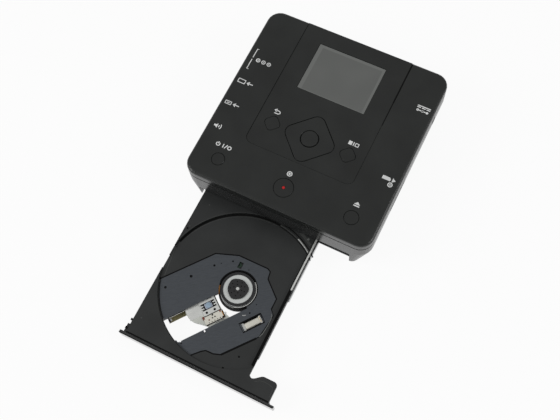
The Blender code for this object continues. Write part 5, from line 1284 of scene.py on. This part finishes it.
@dataclass
class TrayDetail:
    """Moulded and fitted detail of the tray."""

    recess: float = 61.2
    left: float = -60.4
    right: float = 37.8
    back: float = 62.0
    front: float = -66.1
    wing: float = 59.4
    rail_end: float = 16.4
    floor: float = -1.8
    skin: float = 0.02

    def build(self, shop: Workshop) -> None:
        """Add the tray's detail."""
        self._lines(shop)
        self._edges(shop)
        self._fittings(shop)

    def _lines(self, shop: Workshop) -> None:
        """Painted shade: black strips and spots where the moulding's grooves, steps, notches and edges fall
        into shade.
        """
        groove = Draft(SPINDLE)
        groove.strip(arc_points(self.recess - 0.9, 84, 166, steps=90), 1.6, self.floor, self.floor + 0.04)
        groove.strip(arc_points(self.recess - 1.9, 48, 84, steps=50), 0.7, self.floor, self.floor + 0.04)
        groove.strip(
            [(self.right - 1.85, -47.0), (self.right - 1.85, self.back - 0.4)], 0.75, -self.skin, self.skin
        )
        groove.strip(
            [(self.right - 0.85, -47.0), (self.right - 0.85, self.rail_end - 0.6)], 1.5, -self.skin,
            self.skin
        )
        groove.strip(
            [(self.left + 0.2, self.front + 0.7), (self.wing - 0.4, self.front + 0.7)], 1.0, -self.skin,
            self.skin
        )
        groove.strip(arc_points(self.recess + 0.75, 49, 84, steps=50), 0.9, -self.skin, self.skin)
        groove.strip([(-60.05, 9.3), (-60.05, 1.0)], 0.5, -self.skin, self.skin)
        shop.piece(groove, "tray_grooves", Finish.SHADOW, "tray_unit")
        # Painted shade along the bezel's top front edge.
        line = Draft(SPINDLE)
        line.strip([(-65.0, self.front - 1.95), (63.5, self.front - 1.95)], 0.55, 0.79, 0.82)
        shop.piece(line, "bezel_edge_line", Finish.SHADOW, "tray_unit")
        # Painted shade in small notches of the moulding.
        notch = Draft()
        notch.block(-0.7, 0.7, -0.7, 0.7, -0.02, 0.03, 0.01)
        spots = [
            (-58.0, 26.5, 0.0), (-57.6, 18.4, -1.75), (-59.5, 10.4, 0.0), (24.4, -45.3, -1.78),
            (17.5, -57.8, -1.78), (-57.9, -17.9, -1.78)
        ]
        shop.repeat(notch, spots, SPINDLE, "tray_notches", Finish.SHADOW, "tray_unit", 0.5, 9)

    def _edges(self, shop: Workshop) -> None:
        """Painted highlights: lighter strips and a patch where the tray's edges catch the light, and a pale
        strip for the bright rail beside the tray.
        """
        lip = Draft(SPINDLE)
        lip.strip(arc_points(self.recess - 2.4, 86, 160, steps=90), 0.35, -1.8, -1.70, 0.03)
        lip.strip(arc_points(self.recess + 0.5, 86, 164, steps=90), 0.30, -0.02, 0.06, 0.03)
        lip.strip(arc_points(self.recess - 0.6, 66, 84, steps=30), 0.6, -1.8, -1.66, 0.03)
        lip.strip([(-59.4, 9.4), (-57.5, -4.4), (-56.0, -14.2)], 0.35, -1.8, -1.72, 0.03)
        lip.strip(
            [
                (43.5, self.front + 9.6), (46.5, self.front + 11.6), (50.0, self.front + 12.3),
                (54.0, self.front + 12.2), (57.0, self.front + 11.2), (57.9, self.front + 9.0),
                (57.9, self.front + 4.0)
            ],
            0.35, -0.02, 0.12, 0.05
        )
        lip.slab([(22.5, 60.2), (34.4, 53.9), (35.0, 55.6), (26.5, 61.2)], -0.02, 0.04)
        shop.piece(lip, "tray_lit_edges", Finish.TRAY_EDGE, "tray_unit")
        # The arc is a painted highlight on the recess edge; the long strip stands for the bright rail
        # beside the tray.
        bright = Draft(SPINDLE)
        bright.strip(arc_points(self.recess - 0.6, 50, 67, steps=40), 0.85, -1.8, -1.62, 0.03)
        bright.strip(
            [(self.right - 0.75, self.rail_end), (self.right - 0.75, self.back - 0.3)], 1.3, -0.02, 0.08,
            0.03
        )
        shop.piece(bright, "tray_bright_edges", Finish.PALE_METAL, "tray_unit")

    def _fittings(self, shop: Workshop) -> None:
        """Clips, pips, two painted glints and the screw."""
        clip = Draft(SPINDLE)
        clip.block(-61.9, -60.2, -56.3, -54.6, -1.6, -0.1, 0.1)
        clip.block(-62.6, -60.2, -63.6, -61.7, -1.6, -0.1, 0.1)
        clip.block(-64.9, -62.4, -66.38, -65.96, -1.6, 0.3, 0.05)
        shop.piece(clip, "bezel_clips", Finish.SHADOW, "tray_unit")
        pip = Draft()
        pip.disc((0.0, 0.0), 0.6, -0.02, 0.12, 0.06, 20)
        shop.repeat(
            pip, [(-55.0, -51.4, 0.0), (-57.1, 28.8, 0.0), (-51.6, 50.9, 0.0), (-57.3, -20.0, -1.8)],
            SPINDLE, "tray_pips", Finish.TRAY_EDGE, "tray_unit",
        )
        # Painted highlights: a thin grey strip on the recess floor where a gap catches the light, and a
        # thin grey rod along the tray's back edge for a bright line there.
        glints = Draft(SPINDLE)
        glints.strip(
            [(31.8, -5.9), (32.9, -8.6), (33.1, -15.0), (32.4, -22.0), (31.2, -25.6)], 0.5, -1.82, -1.70,
            0.03
        )
        glints.tube(
            [
                (-48.7, self.back - 0.5, 0.12), (-35.0, self.back - 0.4, 0.12),
                (-20.8, self.back - 0.5, 0.12)
            ],
            0.2, 10
        )
        shop.piece(glints, "tray_leaf", Finish.GREY_STEEL, "tray_unit")
        head = Draft()
        head.screw_head(1.0, 0.4)
        shop.repeat(head, [(31.2, 58.6, -0.05)], SPINDLE, "tray_screw", Finish.GREY_STEEL, "tray_unit", 1.0)


@dataclass
class TraverseDetail:
    """Fittings on and under the coated cover plate."""

    plate_top: float = -1.9
    opening: float = 14.9
    edge: tuple[Point, ...] = (
        (-57.0, -18.0), (-28.5, 17.6), (-11.4, 23.9), (13.1, 24.0), (15.6, 22.7), (16.6, 16.9), (29.4, 5.7),
        (29.4, -2.9),
        (33.2, -6.8), (30.7, -25.5), (29.3, -27.3), (11.4, -49.4), (6.1, -51.3), (-0.1, -51.5),
        (-3.1, -53.7), (-8.3, -59.2),
    )

    def build(self, shop: Workshop) -> None:
        """Add the plate's fittings, the feed motor and the lead screw."""
        head = Draft()
        head.screw_head(0.8, 0.4)
        shop.repeat(
            head, [(48.5, -26.5, -3.3), (27.6, -25.8, -3.3), (8.0, -25.1, -3.3), (-6.1, -21.7, -3.3)],
            TRAVERSE, "plate_screws", Finish.BLACK_STEEL, "tray_unit", math.pi / 2, 5,
        )
        # Painted shadow: black strips round the spindle opening, along the cover plate's outline and round
        # the feed motor's window, where the gaps fall into shade.
        rim = Draft(SPINDLE)
        rim.strip(
            arc_points(self.opening - 0.15, -76, 182, steps=120), 1.1, self.plate_top - 0.02,
            self.plate_top + 0.04
        )
        outline = inset(self.edge, 0.45)
        rim.strip(outline[:8], 0.95, -1.8, -1.74)
        rim.strip(outline[10:12], 1.5, -1.8, -1.74)
        rim.strip(outline[11:], 1.0, -1.8, -1.74)
        corners = [(-7.2, 24.5), (10.7, 24.5), (10.7, 32.0), (-7.2, 32.0), (-7.2, 24.5)]
        turn = TRAVERSE.to_3x3().normalized()
        turned = [(turn @ Vector((u, v, 0.0))).to_2d() for u, v in corners]
        rim.strip(
            [(point.x, point.y) for point in turned], 0.9, self.plate_top - 0.02, self.plate_top + 0.04
        )
        shop.piece(rim, "plate_edge_shadows", Finish.SHADOW, "tray_unit")
        # Painted highlight: a pale arc just inside the spindle opening, where the rotor's rim catches the
        # light.
        glint = Draft(SPINDLE)
        glint.strip(
            arc_points(self.opening - 0.75, -76, 48, steps=60), 0.45, self.plate_top - 0.3,
            self.plate_top + 0.08, 0.05
        )
        shop.piece(glint, "spindle_opening_edge", Finish.PALE_METAL, "tray_unit")
        skirt = Draft(SPINDLE)
        skirt.strip(
            arc_points(60.2, -113.5, -98.4, steps=20), 1.2, self.plate_top - 0.4, self.plate_top, 0.05
        )
        shop.piece(skirt, "plate_round_end", Finish.COVER, "tray_unit")
        green = Draft(TRAVERSE)
        green.block(-11.2, -6.6, -19.0, -15.4, -3.4, -3.1, 0.05)
        shop.piece(green, "test_pad_board", Finish.PAD_GREEN, "tray_unit")
        film = Draft(TRAVERSE)
        film.slab(
            [(17.4, -7.4), (16.4, -5.8), (14.4, -3.4), (13.2, -5.2), (10.4, -9.6), (12.5, -10.5)], -3.05,
            -2.95
        )
        shop.piece(film, "spindle_flex_fold", Finish.AMBER, "tray_unit")
        chip = Draft(TRAVERSE)
        chip.block(-9.6, -7.4, -18.4, -17.0, -3.1, -2.5, 0.1)
        shop.piece(chip, "test_pad_chip", Finish.SHADOW, "tray_unit")
        tabs = Draft(TRAVERSE)
        tabs.strip(
            [(5.6, 19.6), (4.7, 20.5), (3.2, 20.8)], 0.5, self.plate_top - 0.02, self.plate_top + 0.08, 0.02
        )
        shop.piece(tabs, "plate_lance", Finish.NICKEL, "tray_unit")
        self._motor(shop)
        screw = Draft(TRAVERSE)
        screw.thread((10.9, 28.2, -5.5), 41.1, 1.4, 3.0, 0.35)
        shop.piece(screw, "lead_screw_thread", Finish.ROD, "screw", "lead_screw")

    def _motor(self, shop: Workshop) -> None:
        """The feed motor: a flat can between two end plates."""
        lie = TRAVERSE @ Matrix.Translation((0.0, 28.2, -5.5))
        can = Draft(lie)
        rings = []
        for along, shrink in ((-4.4, 0.25), (-4.1, 0.0), (7.2, 0.0), (7.5, 0.25)):
            rings.append(
                [
                    (along, y, z) for y,
                    z in round_box(-2.6 + shrink, 2.6 - shrink, -2.4 + shrink, 2.4 - shrink, 1.3, 6)
                ]
            )
        can.loft(rings)
        shop.piece(can, "feed_motor_can", Finish.CREAM, "tray_unit", "feed_motor")
        ends = Draft(lie)
        for start, end in ((-6.2, -4.5), (7.6, 9.4)):
            ends.block(start, end, -3.1, 3.1, -2.45, 2.5, 0.2)
        ends.block(-6.7, -6.1, -0.9, 0.9, -0.9, 0.9, 0.2)
        ends.block(8.5, 10.4, -1.1, 1.1, -1.1, 1.1, 0.3)
        shop.piece(ends, "feed_motor_ends", Finish.PALE_METAL, "tray_unit")
        pins = Draft()
        pins.block(-0.25, 0.25, -0.35, 0.35, 0.0, 0.5, 0.08)
        shop.row(
            pins, 4, (-5.1, -1.8, 2.45), (0.0, 1.2, 0.0), lie, "feed_motor_pins", Finish.GOLD, "tray_unit"
        )


@dataclass
class SpindleDetail:
    """Rings, balls and windings of the spindle motor."""

    body: str = "turntable"
    lobe: float = math.radians(26)

    def build(self, shop: Workshop) -> None:
        """Add the spindle's detail."""
        ring = Draft(SPINDLE)
        ring.ring((0.0, 0.0), 7.0, 11.5, -1.79, -1.52, 0.12, 96)
        shop.piece(ring, "rotor_ring", Finish.RING, self.body)
        # Painted shade: a black ring at the step between the turned ring and the rubber pad.
        step = Draft(SPINDLE)
        step.ring((0.0, 0.0), 11.5, 11.9, -1.79, -1.30, 0.08, 96)
        shop.piece(step, "pad_inner_edge", Finish.SHADOW, self.body)
        hub = Draft(SPINDLE)
        rings = []
        for shrink, height in ((0.35, -1.5), (0.0, -1.4), (0.0, -0.25), (0.35, 0.1)):
            bearings = [2 * math.pi * index / 96 for index in range(96)]
            reach = [
                7.7 - shrink + 0.75 * (
                    0.5 + 0.5 * math.cos(3 * (angle - self.lobe))
                ) ** 3 for angle in bearings
            ]
            rings.append(
                [
                    (radius * math.cos(angle), radius * math.sin(angle), height) for radius,
                    angle in zip(reach, bearings)
                ]
            )
        hub.loft(rings)
        shop.piece(hub, "hub_disc", Finish.FRAME, self.body, "hub")
        ball = Draft()
        ball.disc((0.0, 0.0), 0.45, 0.0, 0.14, 0.05, 16)
        shop.wheel(ball, 9, 5.6, 0.06, SPINDLE, "hub_dots", Finish.SHADOW, self.body)
        shop.wheel(ball, 6, 3.3, 0.06, SPINDLE, "hub_inner_dots", Finish.SHADOW, self.body)
        collar = Draft(SPINDLE)
        collar.ring((0.0, 0.0), 0.45, 1.28, 0.0, 0.27, 0.12, 40)
        shop.piece(collar, "pin_collar", Finish.PALE_METAL, self.body)
        tooth = Draft()
        tooth.block(-1.1, 1.1, -0.75, 0.75, 0.0, 1.6, 0.25)
        shop.wheel(tooth, 12, 11.0, -6.6, SPINDLE, "stator_teeth", Finish.COPPER, "tray_unit")


@dataclass
class PickupDetail:
    """The laser sled's cover with its slots, board, spring and lens."""

    body: str = "sled"
    top: float = -3.9
    board_face: float = -3.14
    part_top: float = -3.04
    lens: Point = (25.2, 0.6)

    def build(self, shop: Workshop) -> None:
        """Add the pickup's detail."""
        x, y = self.lens
        cover = Draft(TRAVERSE)
        cover.hoop(
            round_box(18.5, 31.6, -4.9, 7.3, 0.5), round_box(x - 5.7, x + 5.7, y - 2.75, y + 2.75, 0.3),
            self.top, self.top + 0.35, 0.06
        )
        for across in (y - 1.05, y + 1.05):
            cover.block(x - 5.9, x - 3.9, across - 0.5, across + 0.5, self.top, self.top + 0.35, 0.06)
            cover.block(x + 3.9, x + 5.9, across - 0.5, across + 0.5, self.top, self.top + 0.35, 0.06)
        cover.block(31.7, 42.4, -4.4, 5.6, self.top, self.top + 0.14, 0.05)
        shop.piece(cover, "actuator_cover", Finish.PALE_METAL, self.body)
        # Painted shade: a black frame in the gap round the lens holder and black lines along the edges of
        # the cover and the sled; two black dots besides.
        dark = Draft(TRAVERSE)
        dark.hoop(
            round_box(x - 5.8, x + 5.8, y - 2.9, y + 2.9, 0.3),
            round_box(x - 3.1, x + 3.1, y - 2.35, y + 2.35, 0.6), self.top - 0.1, self.top + 0.06
        )
        dark.strip([(18.15, -4.8), (18.15, 7.3)], 0.5, self.top, self.top + 0.1)
        dark.strip([(17.9, 7.65), (31.4, 7.65)], 0.55, self.top, self.top + 0.3)
        dark.strip([(20.6, -4.3), (25.0, -4.3)], 0.5, self.top + 0.35, self.top + 0.38)
        dark.strip([(26.2, -4.5), (28.4, -4.5)], 0.5, self.top + 0.35, self.top + 0.38)
        dark.disc((28.7, 5.4), 0.95, self.top + 0.34, self.top + 0.40, 0.01, 16)
        dark.disc((22.2, 5.5), 0.95, self.top + 0.34, self.top + 0.40, 0.01, 16)
        dark.strip([(17.4, 8.2), (17.6, 14.4)], 0.7, self.top, self.top + 0.2)
        shop.piece(dark, "actuator_gaps", Finish.SHADOW, self.body)
        self._board(shop)
        self._lens(shop)
        self._fittings(shop)

    def _board(self, shop: Workshop) -> None:
        """The small board beside the actuator with its parts."""
        plate = Draft(TRAVERSE)
        plate.block(18.4, 33.0, 8.1, 14.2, self.top + 0.7, self.top + 0.79, 0.03)
        shop.piece(plate, "pickup_board_cover", Finish.CREAM, self.body)
        parts = Draft(TRAVERSE)
        parts.block(31.9, 33.6, 7.2, 9.6, self.top, self.part_top, 0.1)
        parts.block(18.6, 19.8, 7.9, 9.4, self.board_face, self.part_top, 0.04)
        parts.disc((29.4, 11.4), 0.55, self.board_face, self.part_top, 0.03, 20)
        shop.piece(parts, "pickup_trimmers", Finish.RUST, self.body)
        legs = Draft()
        legs.block(-0.3, 0.3, -0.35, 0.35, 0.0, 0.09, 0.02)
        shop.row(
            legs, 5, (21.0, 13.4, self.top + 0.77), (2.3, 0.0, 0.0), TRAVERSE, "pickup_pads", Finish.SHADOW,
            self.body
        )
        chips = Draft(TRAVERSE)
        chips.block(25.0, 26.2, 8.3, 9.4, self.board_face, self.part_top, 0.04)
        chips.block(23.8, 24.9, 10.4, 11.3, self.board_face, self.part_top, 0.04)
        chips.block(25.9, 26.9, 10.4, 11.3, self.board_face, self.part_top, 0.04)
        # The long black strip is painted shade along the board cover's edge; the blocks are chips.
        chips.strip([(18.4, 14.45), (33.2, 14.45)], 0.6, self.top + 0.5, self.top + 0.84)
        chips.block(17.4, 19.4, 13.2, 14.4, self.board_face, self.top + 0.85, 0.03)
        shop.piece(chips, "pickup_chips", Finish.SHADOW, self.body)

    def _lens(self, shop: Workshop) -> None:
        """The holder, its coils and the lens's rim."""
        x, y = self.lens
        holder = Draft(TRAVERSE)
        holder.slab(
            round_box(x - 2.95, x + 2.95, y - 2.2, y + 2.2, 0.7), self.top - 1.3, self.top + 0.62, 0.12
        )
        shop.piece(holder, "lens_holder_shell", Finish.HOLDER, "lens", "lens_holder")
        # A pale rim ring round the lens, which also serves as the lens's painted highlight.
        rim = Draft(TRAVERSE)
        rim.ring((x, y), 1.35, 1.75, self.top + 0.55, self.top + 0.98, 0.08, 48)
        shop.piece(rim, "lens_rim", Finish.PALE_METAL, "lens")
        pip = Draft()
        pip.disc((0.0, 0.0), 0.4, 0.0, 0.08, 0.02, 14)
        shop.repeat(
            pip, [(x - 2.1, y - 1.2, self.top + 0.62)], TRAVERSE, "holder_pip", Finish.SHADOW, "lens"
        )
        coil = Draft()
        for turn in range(4):
            coil.hoop(
                round_box(-0.55, 0.55, -1.2, 1.2, 0.35), round_box(-0.3, 0.3, -0.85, 0.85, 0.2),
                0.10 * turn, 0.10 * turn + 0.09, 0.02,
            )
        shop.repeat(
            coil, [(x - 2.35, y, self.top + 0.2), (x + 2.35, y, self.top + 0.2)], TRAVERSE, "focus_coils",
            Finish.COPPER, "lens"
        )

    def _fittings(self, shop: Workshop) -> None:
        """The nut arm's bright plate and its preload spring."""
        arm = Draft(TRAVERSE)
        arm.block(15.0, 17.4, 16.9, 25.0, self.top, self.top + 0.5, 0.12)
        arm.block(15.4, 17.2, 11.0, 12.4, self.top, self.top + 0.6, 0.12)
        shop.piece(arm, "nut_arm_plate", Finish.PALE_METAL, self.body)
        spring = Draft(TRAVERSE)
        path = []
        for index in range(121):
            angle = 2 * math.pi * index / 15
            path.append(
                (
                    18.4 + 0.068 * index, 15.2 + 0.55 * math.cos(angle),
                    self.top + 0.75 + 0.55 * math.sin(angle)
                )
            )
        spring.tube(path, 0.14, 6)
        shop.piece(spring, "preload_spring", Finish.NICKEL, self.body)


@dataclass
class FlexDetail:
    """Ends of the flat cables in the traverse."""

    def build(self, shop: Workshop) -> None:
        """Add the cable ends."""
        clamp = Draft(TRAVERSE)
        clamp.block(56.0, 57.3, -5.2, -1.6, -8.8, -8.1, 0.15)
        shop.piece(clamp, "flex_clamp", Finish.SOCKET, "tray_unit")
        stiff = Draft(TRAVERSE)
        stiff.block(54.8, 56.0, -4.6, -2.4, -8.8, -8.55, 0.05)
        shop.piece(stiff, "flex_stiffener", Finish.WHITE, "tray_unit")


@dataclass
class RailDetail:
    """Rows of small pips along the telescoping rails."""

    inner: float = 36.8
    left_inner: float = 59.4
    top: float = -4.2
    front: float = 9.2

    def build(self, shop: Workshop) -> None:
        """Add detail to both rails."""
        for body, middle, name in (
            ("right_rail", self.inner + 0.9, "right"), ("left_rail", -self.left_inner - 0.9, "left")
        ):
            pip = Draft()
            pip.disc((0.0, 0.0), 0.42, 0.0, 0.10, 0.08, 14)
            shop.row(
                pip, 16, (middle, self.front + 3.0, self.top), (0.0, 6.6, 0.0), SPINDLE,
                f"rail_pips_{name}", Finish.STEEL, body
            )


@dataclass
class BoardParts:
    """Small parts soldered to the boards inside the case."""

    board_top: float = 22.3
    seed: int = 11

    def build(self, shop: Workshop) -> None:
        """Scatter resistors."""
        rng = random.Random(self.seed)
        spots = [
            (
                -50.0 + 8.2 * column + rng.uniform(-2.0, 2.0), 30.0 + 9.0 * row + rng.uniform(-2.5, 2.5),
                self.board_top + 0.02
            )
            for column in range(9) for row in range(2)
        ]
        part = Draft()
        part.block(-0.8, 0.8, -0.4, 0.4, 0.0, 0.5, 0.06)
        shop.repeat(part, spots, WORLD, "board_resistors", Finish.SHADOW, "case", math.pi, self.seed)


# Studio


@dataclass
class Studio:
    """The camera, the floor and the light."""

    azimuth: float = 33.92
    elevation: float = 68.67
    roll: float = -8.0
    distance: float = 0.66428
    target: Spot = (-0.00046, -0.00445, 0.0161)
    focal_px: float = 850.0
    frame_px: float = 560.0
    sensor: float = 36.0
    floor_glow: float = 0.93

    def camera(self) -> None:
        """Put the camera where the photograph was taken from."""
        azimuth, elevation, roll = (
            math.radians(value) for value in (self.azimuth, self.elevation, self.roll)
        )
        back = Vector((
            math.sin(azimuth) * math.cos(elevation),
            -math.cos(azimuth) * math.cos(elevation),
            math.sin(elevation),
        ))
        right = Vector((math.cos(azimuth), math.sin(azimuth), 0.0))
        up = back.cross(right)
        across = right * math.cos(roll) + up * math.sin(roll)
        upward = up * math.cos(roll) - right * math.sin(roll)
        data = bpy.data.cameras.new("camera")
        data.sensor_fit = "HORIZONTAL"
        data.sensor_width = self.sensor
        data.lens = self.focal_px / self.frame_px * self.sensor
        data.clip_start = 0.01
        item = bpy.data.objects.new("camera", data)
        turn = Matrix((across, upward, back)).transposed().to_4x4()
        item.matrix_world = Matrix.Translation(Vector(self.target) + back * self.distance) @ turn
        bpy.context.scene.collection.objects.link(item)
        bpy.context.scene.camera = item

    def floor(self) -> None:
        """Lay a wide pale floor that keeps a soft shadow."""
        mesh = bpy.data.meshes.new("floor")
        half = 6.0
        mesh.from_pydata(
            [(-half, -half, 0), (half, -half, 0), (half, half, 0), (-half, half, 0)], [], [(0, 1, 2, 3)]
        )
        material = bpy.data.materials.new("floor_white")
        material.use_nodes = True
        tree = material.node_tree
        tree.nodes["Principled BSDF"].inputs["Base Color"].default_value = (0.86, 0.86, 0.86, 1)
        tree.nodes["Principled BSDF"].inputs["Roughness"].default_value = 0.9
        tree.nodes["Principled BSDF"].inputs["Specular IOR Level"].default_value = 0.1
        glow = tree.nodes.new("ShaderNodeEmission")
        glow.inputs["Strength"].default_value = 1.0
        mixed = tree.nodes.new("ShaderNodeMixShader")
        rays = tree.nodes.new("ShaderNodeLightPath")
        share = tree.nodes.new("ShaderNodeMath")
        share.operation = "MULTIPLY"
        share.inputs[1].default_value = self.floor_glow
        seen = tree.nodes.new("ShaderNodeMath")
        seen.operation = "MAXIMUM"
        clear = tree.nodes.new("ShaderNodeMath")
        clear.operation = "MAXIMUM"
        tree.links.new(rays.outputs["Is Camera Ray"], seen.inputs[0])
        tree.links.new(rays.outputs["Is Glossy Ray"], seen.inputs[1])
        tree.links.new(seen.outputs[0], clear.inputs[0])
        tree.links.new(rays.outputs["Is Transmission Ray"], clear.inputs[1])
        tree.links.new(clear.outputs[0], share.inputs[0])
        tree.links.new(share.outputs[0], mixed.inputs[0])
        tree.links.new(tree.nodes["Principled BSDF"].outputs[0], mixed.inputs[1])
        tree.links.new(glow.outputs[0], mixed.inputs[2])
        tree.links.new(mixed.outputs[0], tree.nodes["Material Output"].inputs["Surface"])
        mesh.materials.append(material)
        item = bpy.data.objects.new("floor", mesh)
        bpy.context.scene.collection.objects.link(item)

    def world(self) -> None:
        """Light from all round, darker toward the horizon than overhead."""
        world = bpy.data.worlds.new("studio")
        world.use_nodes = True
        bpy.context.scene.world = world
        tree = world.node_tree
        background = tree.nodes["Background"]
        coords = tree.nodes.new("ShaderNodeTexCoord")
        split = tree.nodes.new("ShaderNodeSeparateXYZ")
        ramp = tree.nodes.new("ShaderNodeValToRGB")
        ramp.color_ramp.elements[0].position = 0.0
        ramp.color_ramp.elements[0].color = (0.13, 0.13, 0.13, 1)
        ramp.color_ramp.elements[1].position = 0.75
        ramp.color_ramp.elements[1].color = (0.46, 0.46, 0.46, 1)
        rays = tree.nodes.new("ShaderNodeLightPath")
        mixed = tree.nodes.new("ShaderNodeMix")
        mixed.data_type = "RGBA"
        tree.links.new(coords.outputs["Generated"], split.inputs[0])
        tree.links.new(split.outputs["Z"], ramp.inputs[0])
        tree.links.new(rays.outputs["Is Camera Ray"], mixed.inputs[0])
        tree.links.new(ramp.outputs[0], mixed.inputs[6])
        mixed.inputs[7].default_value = (1.0, 1.0, 1.0, 1)
        tree.links.new(mixed.outputs[2], background.inputs["Color"])
        background.inputs["Strength"].default_value = 1.0

    def lamp(self, name: str, place: Spot, size: float, watts: float) -> None:
        """Hang one soft lamp that faces the recorder.

        Args:
            name: the lamp's name.
            place: where it hangs.
            size: side of its square face.
            watts: its power.
        """
        data = bpy.data.lights.new(name, "AREA")
        data.shape = "SQUARE"
        data.size = size
        data.energy = watts
        item = bpy.data.objects.new(name, data)
        item.location = place
        item.rotation_euler = (Vector(place) - Vector(self.target)).to_track_quat("Z", "Y").to_euler()
        bpy.context.scene.collection.objects.link(item)

    def build(self) -> None:
        """Make the camera, the floor and the light."""
        self.camera()
        self.floor()
        self.world()
        self.lamp("key_lamp", (-1.4, -0.9, 1.3), 1.0, 15.0)
        self.lamp("side_lamp", (1.6, 0.3, 1.2), 0.8, 9.0)
        bpy.context.scene.view_settings.view_transform = "Standard"
        LOG.info("studio: camera, floor, world and two lamps")


def dress_solids(palette: Palette) -> None:
    """Give every carried-over solid its finish."""
    palette.dress(Finish.CASE, "top_cover")
    palette.dress(Finish.SHELL, "lower_shell", "base_plate")
    palette.dress(Finish.BEZEL, "tray_bezel")
    palette.dress(Finish.PANEL, "key_panel")
    palette.dress(Finish.WINDOW, "screen_window")
    palette.dress(
        Finish.KEY, "power_button", "record_button", "open_button", "back_button",
        "stop_button", "ok_button", "nav_pad",
    )
    palette.dress(Finish.LAMP, "record_lamp")
    palette.dress(Finish.SCREEN, "lcd_glass")
    palette.dress(Finish.RUBBER, "foot_1", "foot_2", "foot_3", "foot_4", "friction_ring")
    palette.dress(
        Finish.STEEL, "lcd_module", "video_port", "data_port", "card_socket", "drive_pan",
        "drive_lid", "rail_left", "rail_right", "spindle_base", "actuator_base",
    )
    palette.dress(Finish.RING, "rotor", "spindle_pin")
    palette.dress(Finish.ROD, "guide_rod_a", "guide_rod_b", "lead_screw")
    palette.dress(Finish.TRAY, "tray")
    palette.dress(Finish.FRAME, "traverse_frame")
    palette.dress(Finish.HOLDER, "lens_holder")
    palette.dress(Finish.SOCKET, "sound_jack_1", "sound_jack_2", "sound_jack_3", "power_inlet")
    palette.dress(
        Finish.RESIN, "nav_cradle", "rail_guide_left", "rail_guide_right", "feed_motor", "sled_nut"
    )
    palette.dress(Finish.BOARD, "key_board", "main_board", "drive_board")
    palette.dress(Finish.COVER, "traverse_cover")
    palette.dress(Finish.SLED, "pickup_sled")
    palette.dress(Finish.LENS, "objective_lens")
    palette.dress(Finish.AMBER, "pickup_board", "spindle_flex")
    palette.dress(Finish.OLIVE, "pickup_flex")


def main() -> None:
    """Build the studio and dress the recorder, one sub-assembly after another."""
    logging.basicConfig(level=logging.INFO, format="%(message)s")
    palette = Palette()
    Studio().build()
    dress_solids(palette)
    shop = Workshop(palette)
    for assembly in (
        TopMarks(), PanelTrim(), SocketFittings(), Underside(), TrayDetail(), TraverseDetail(),
        SpindleDetail(), PickupDetail(), FlexDetail(), RailDetail(), BoardParts(),
    ):
        assembly.build(shop)
    LOG.info("%d pieces added", shop.count)


if __name__ == "__main__":
    main()
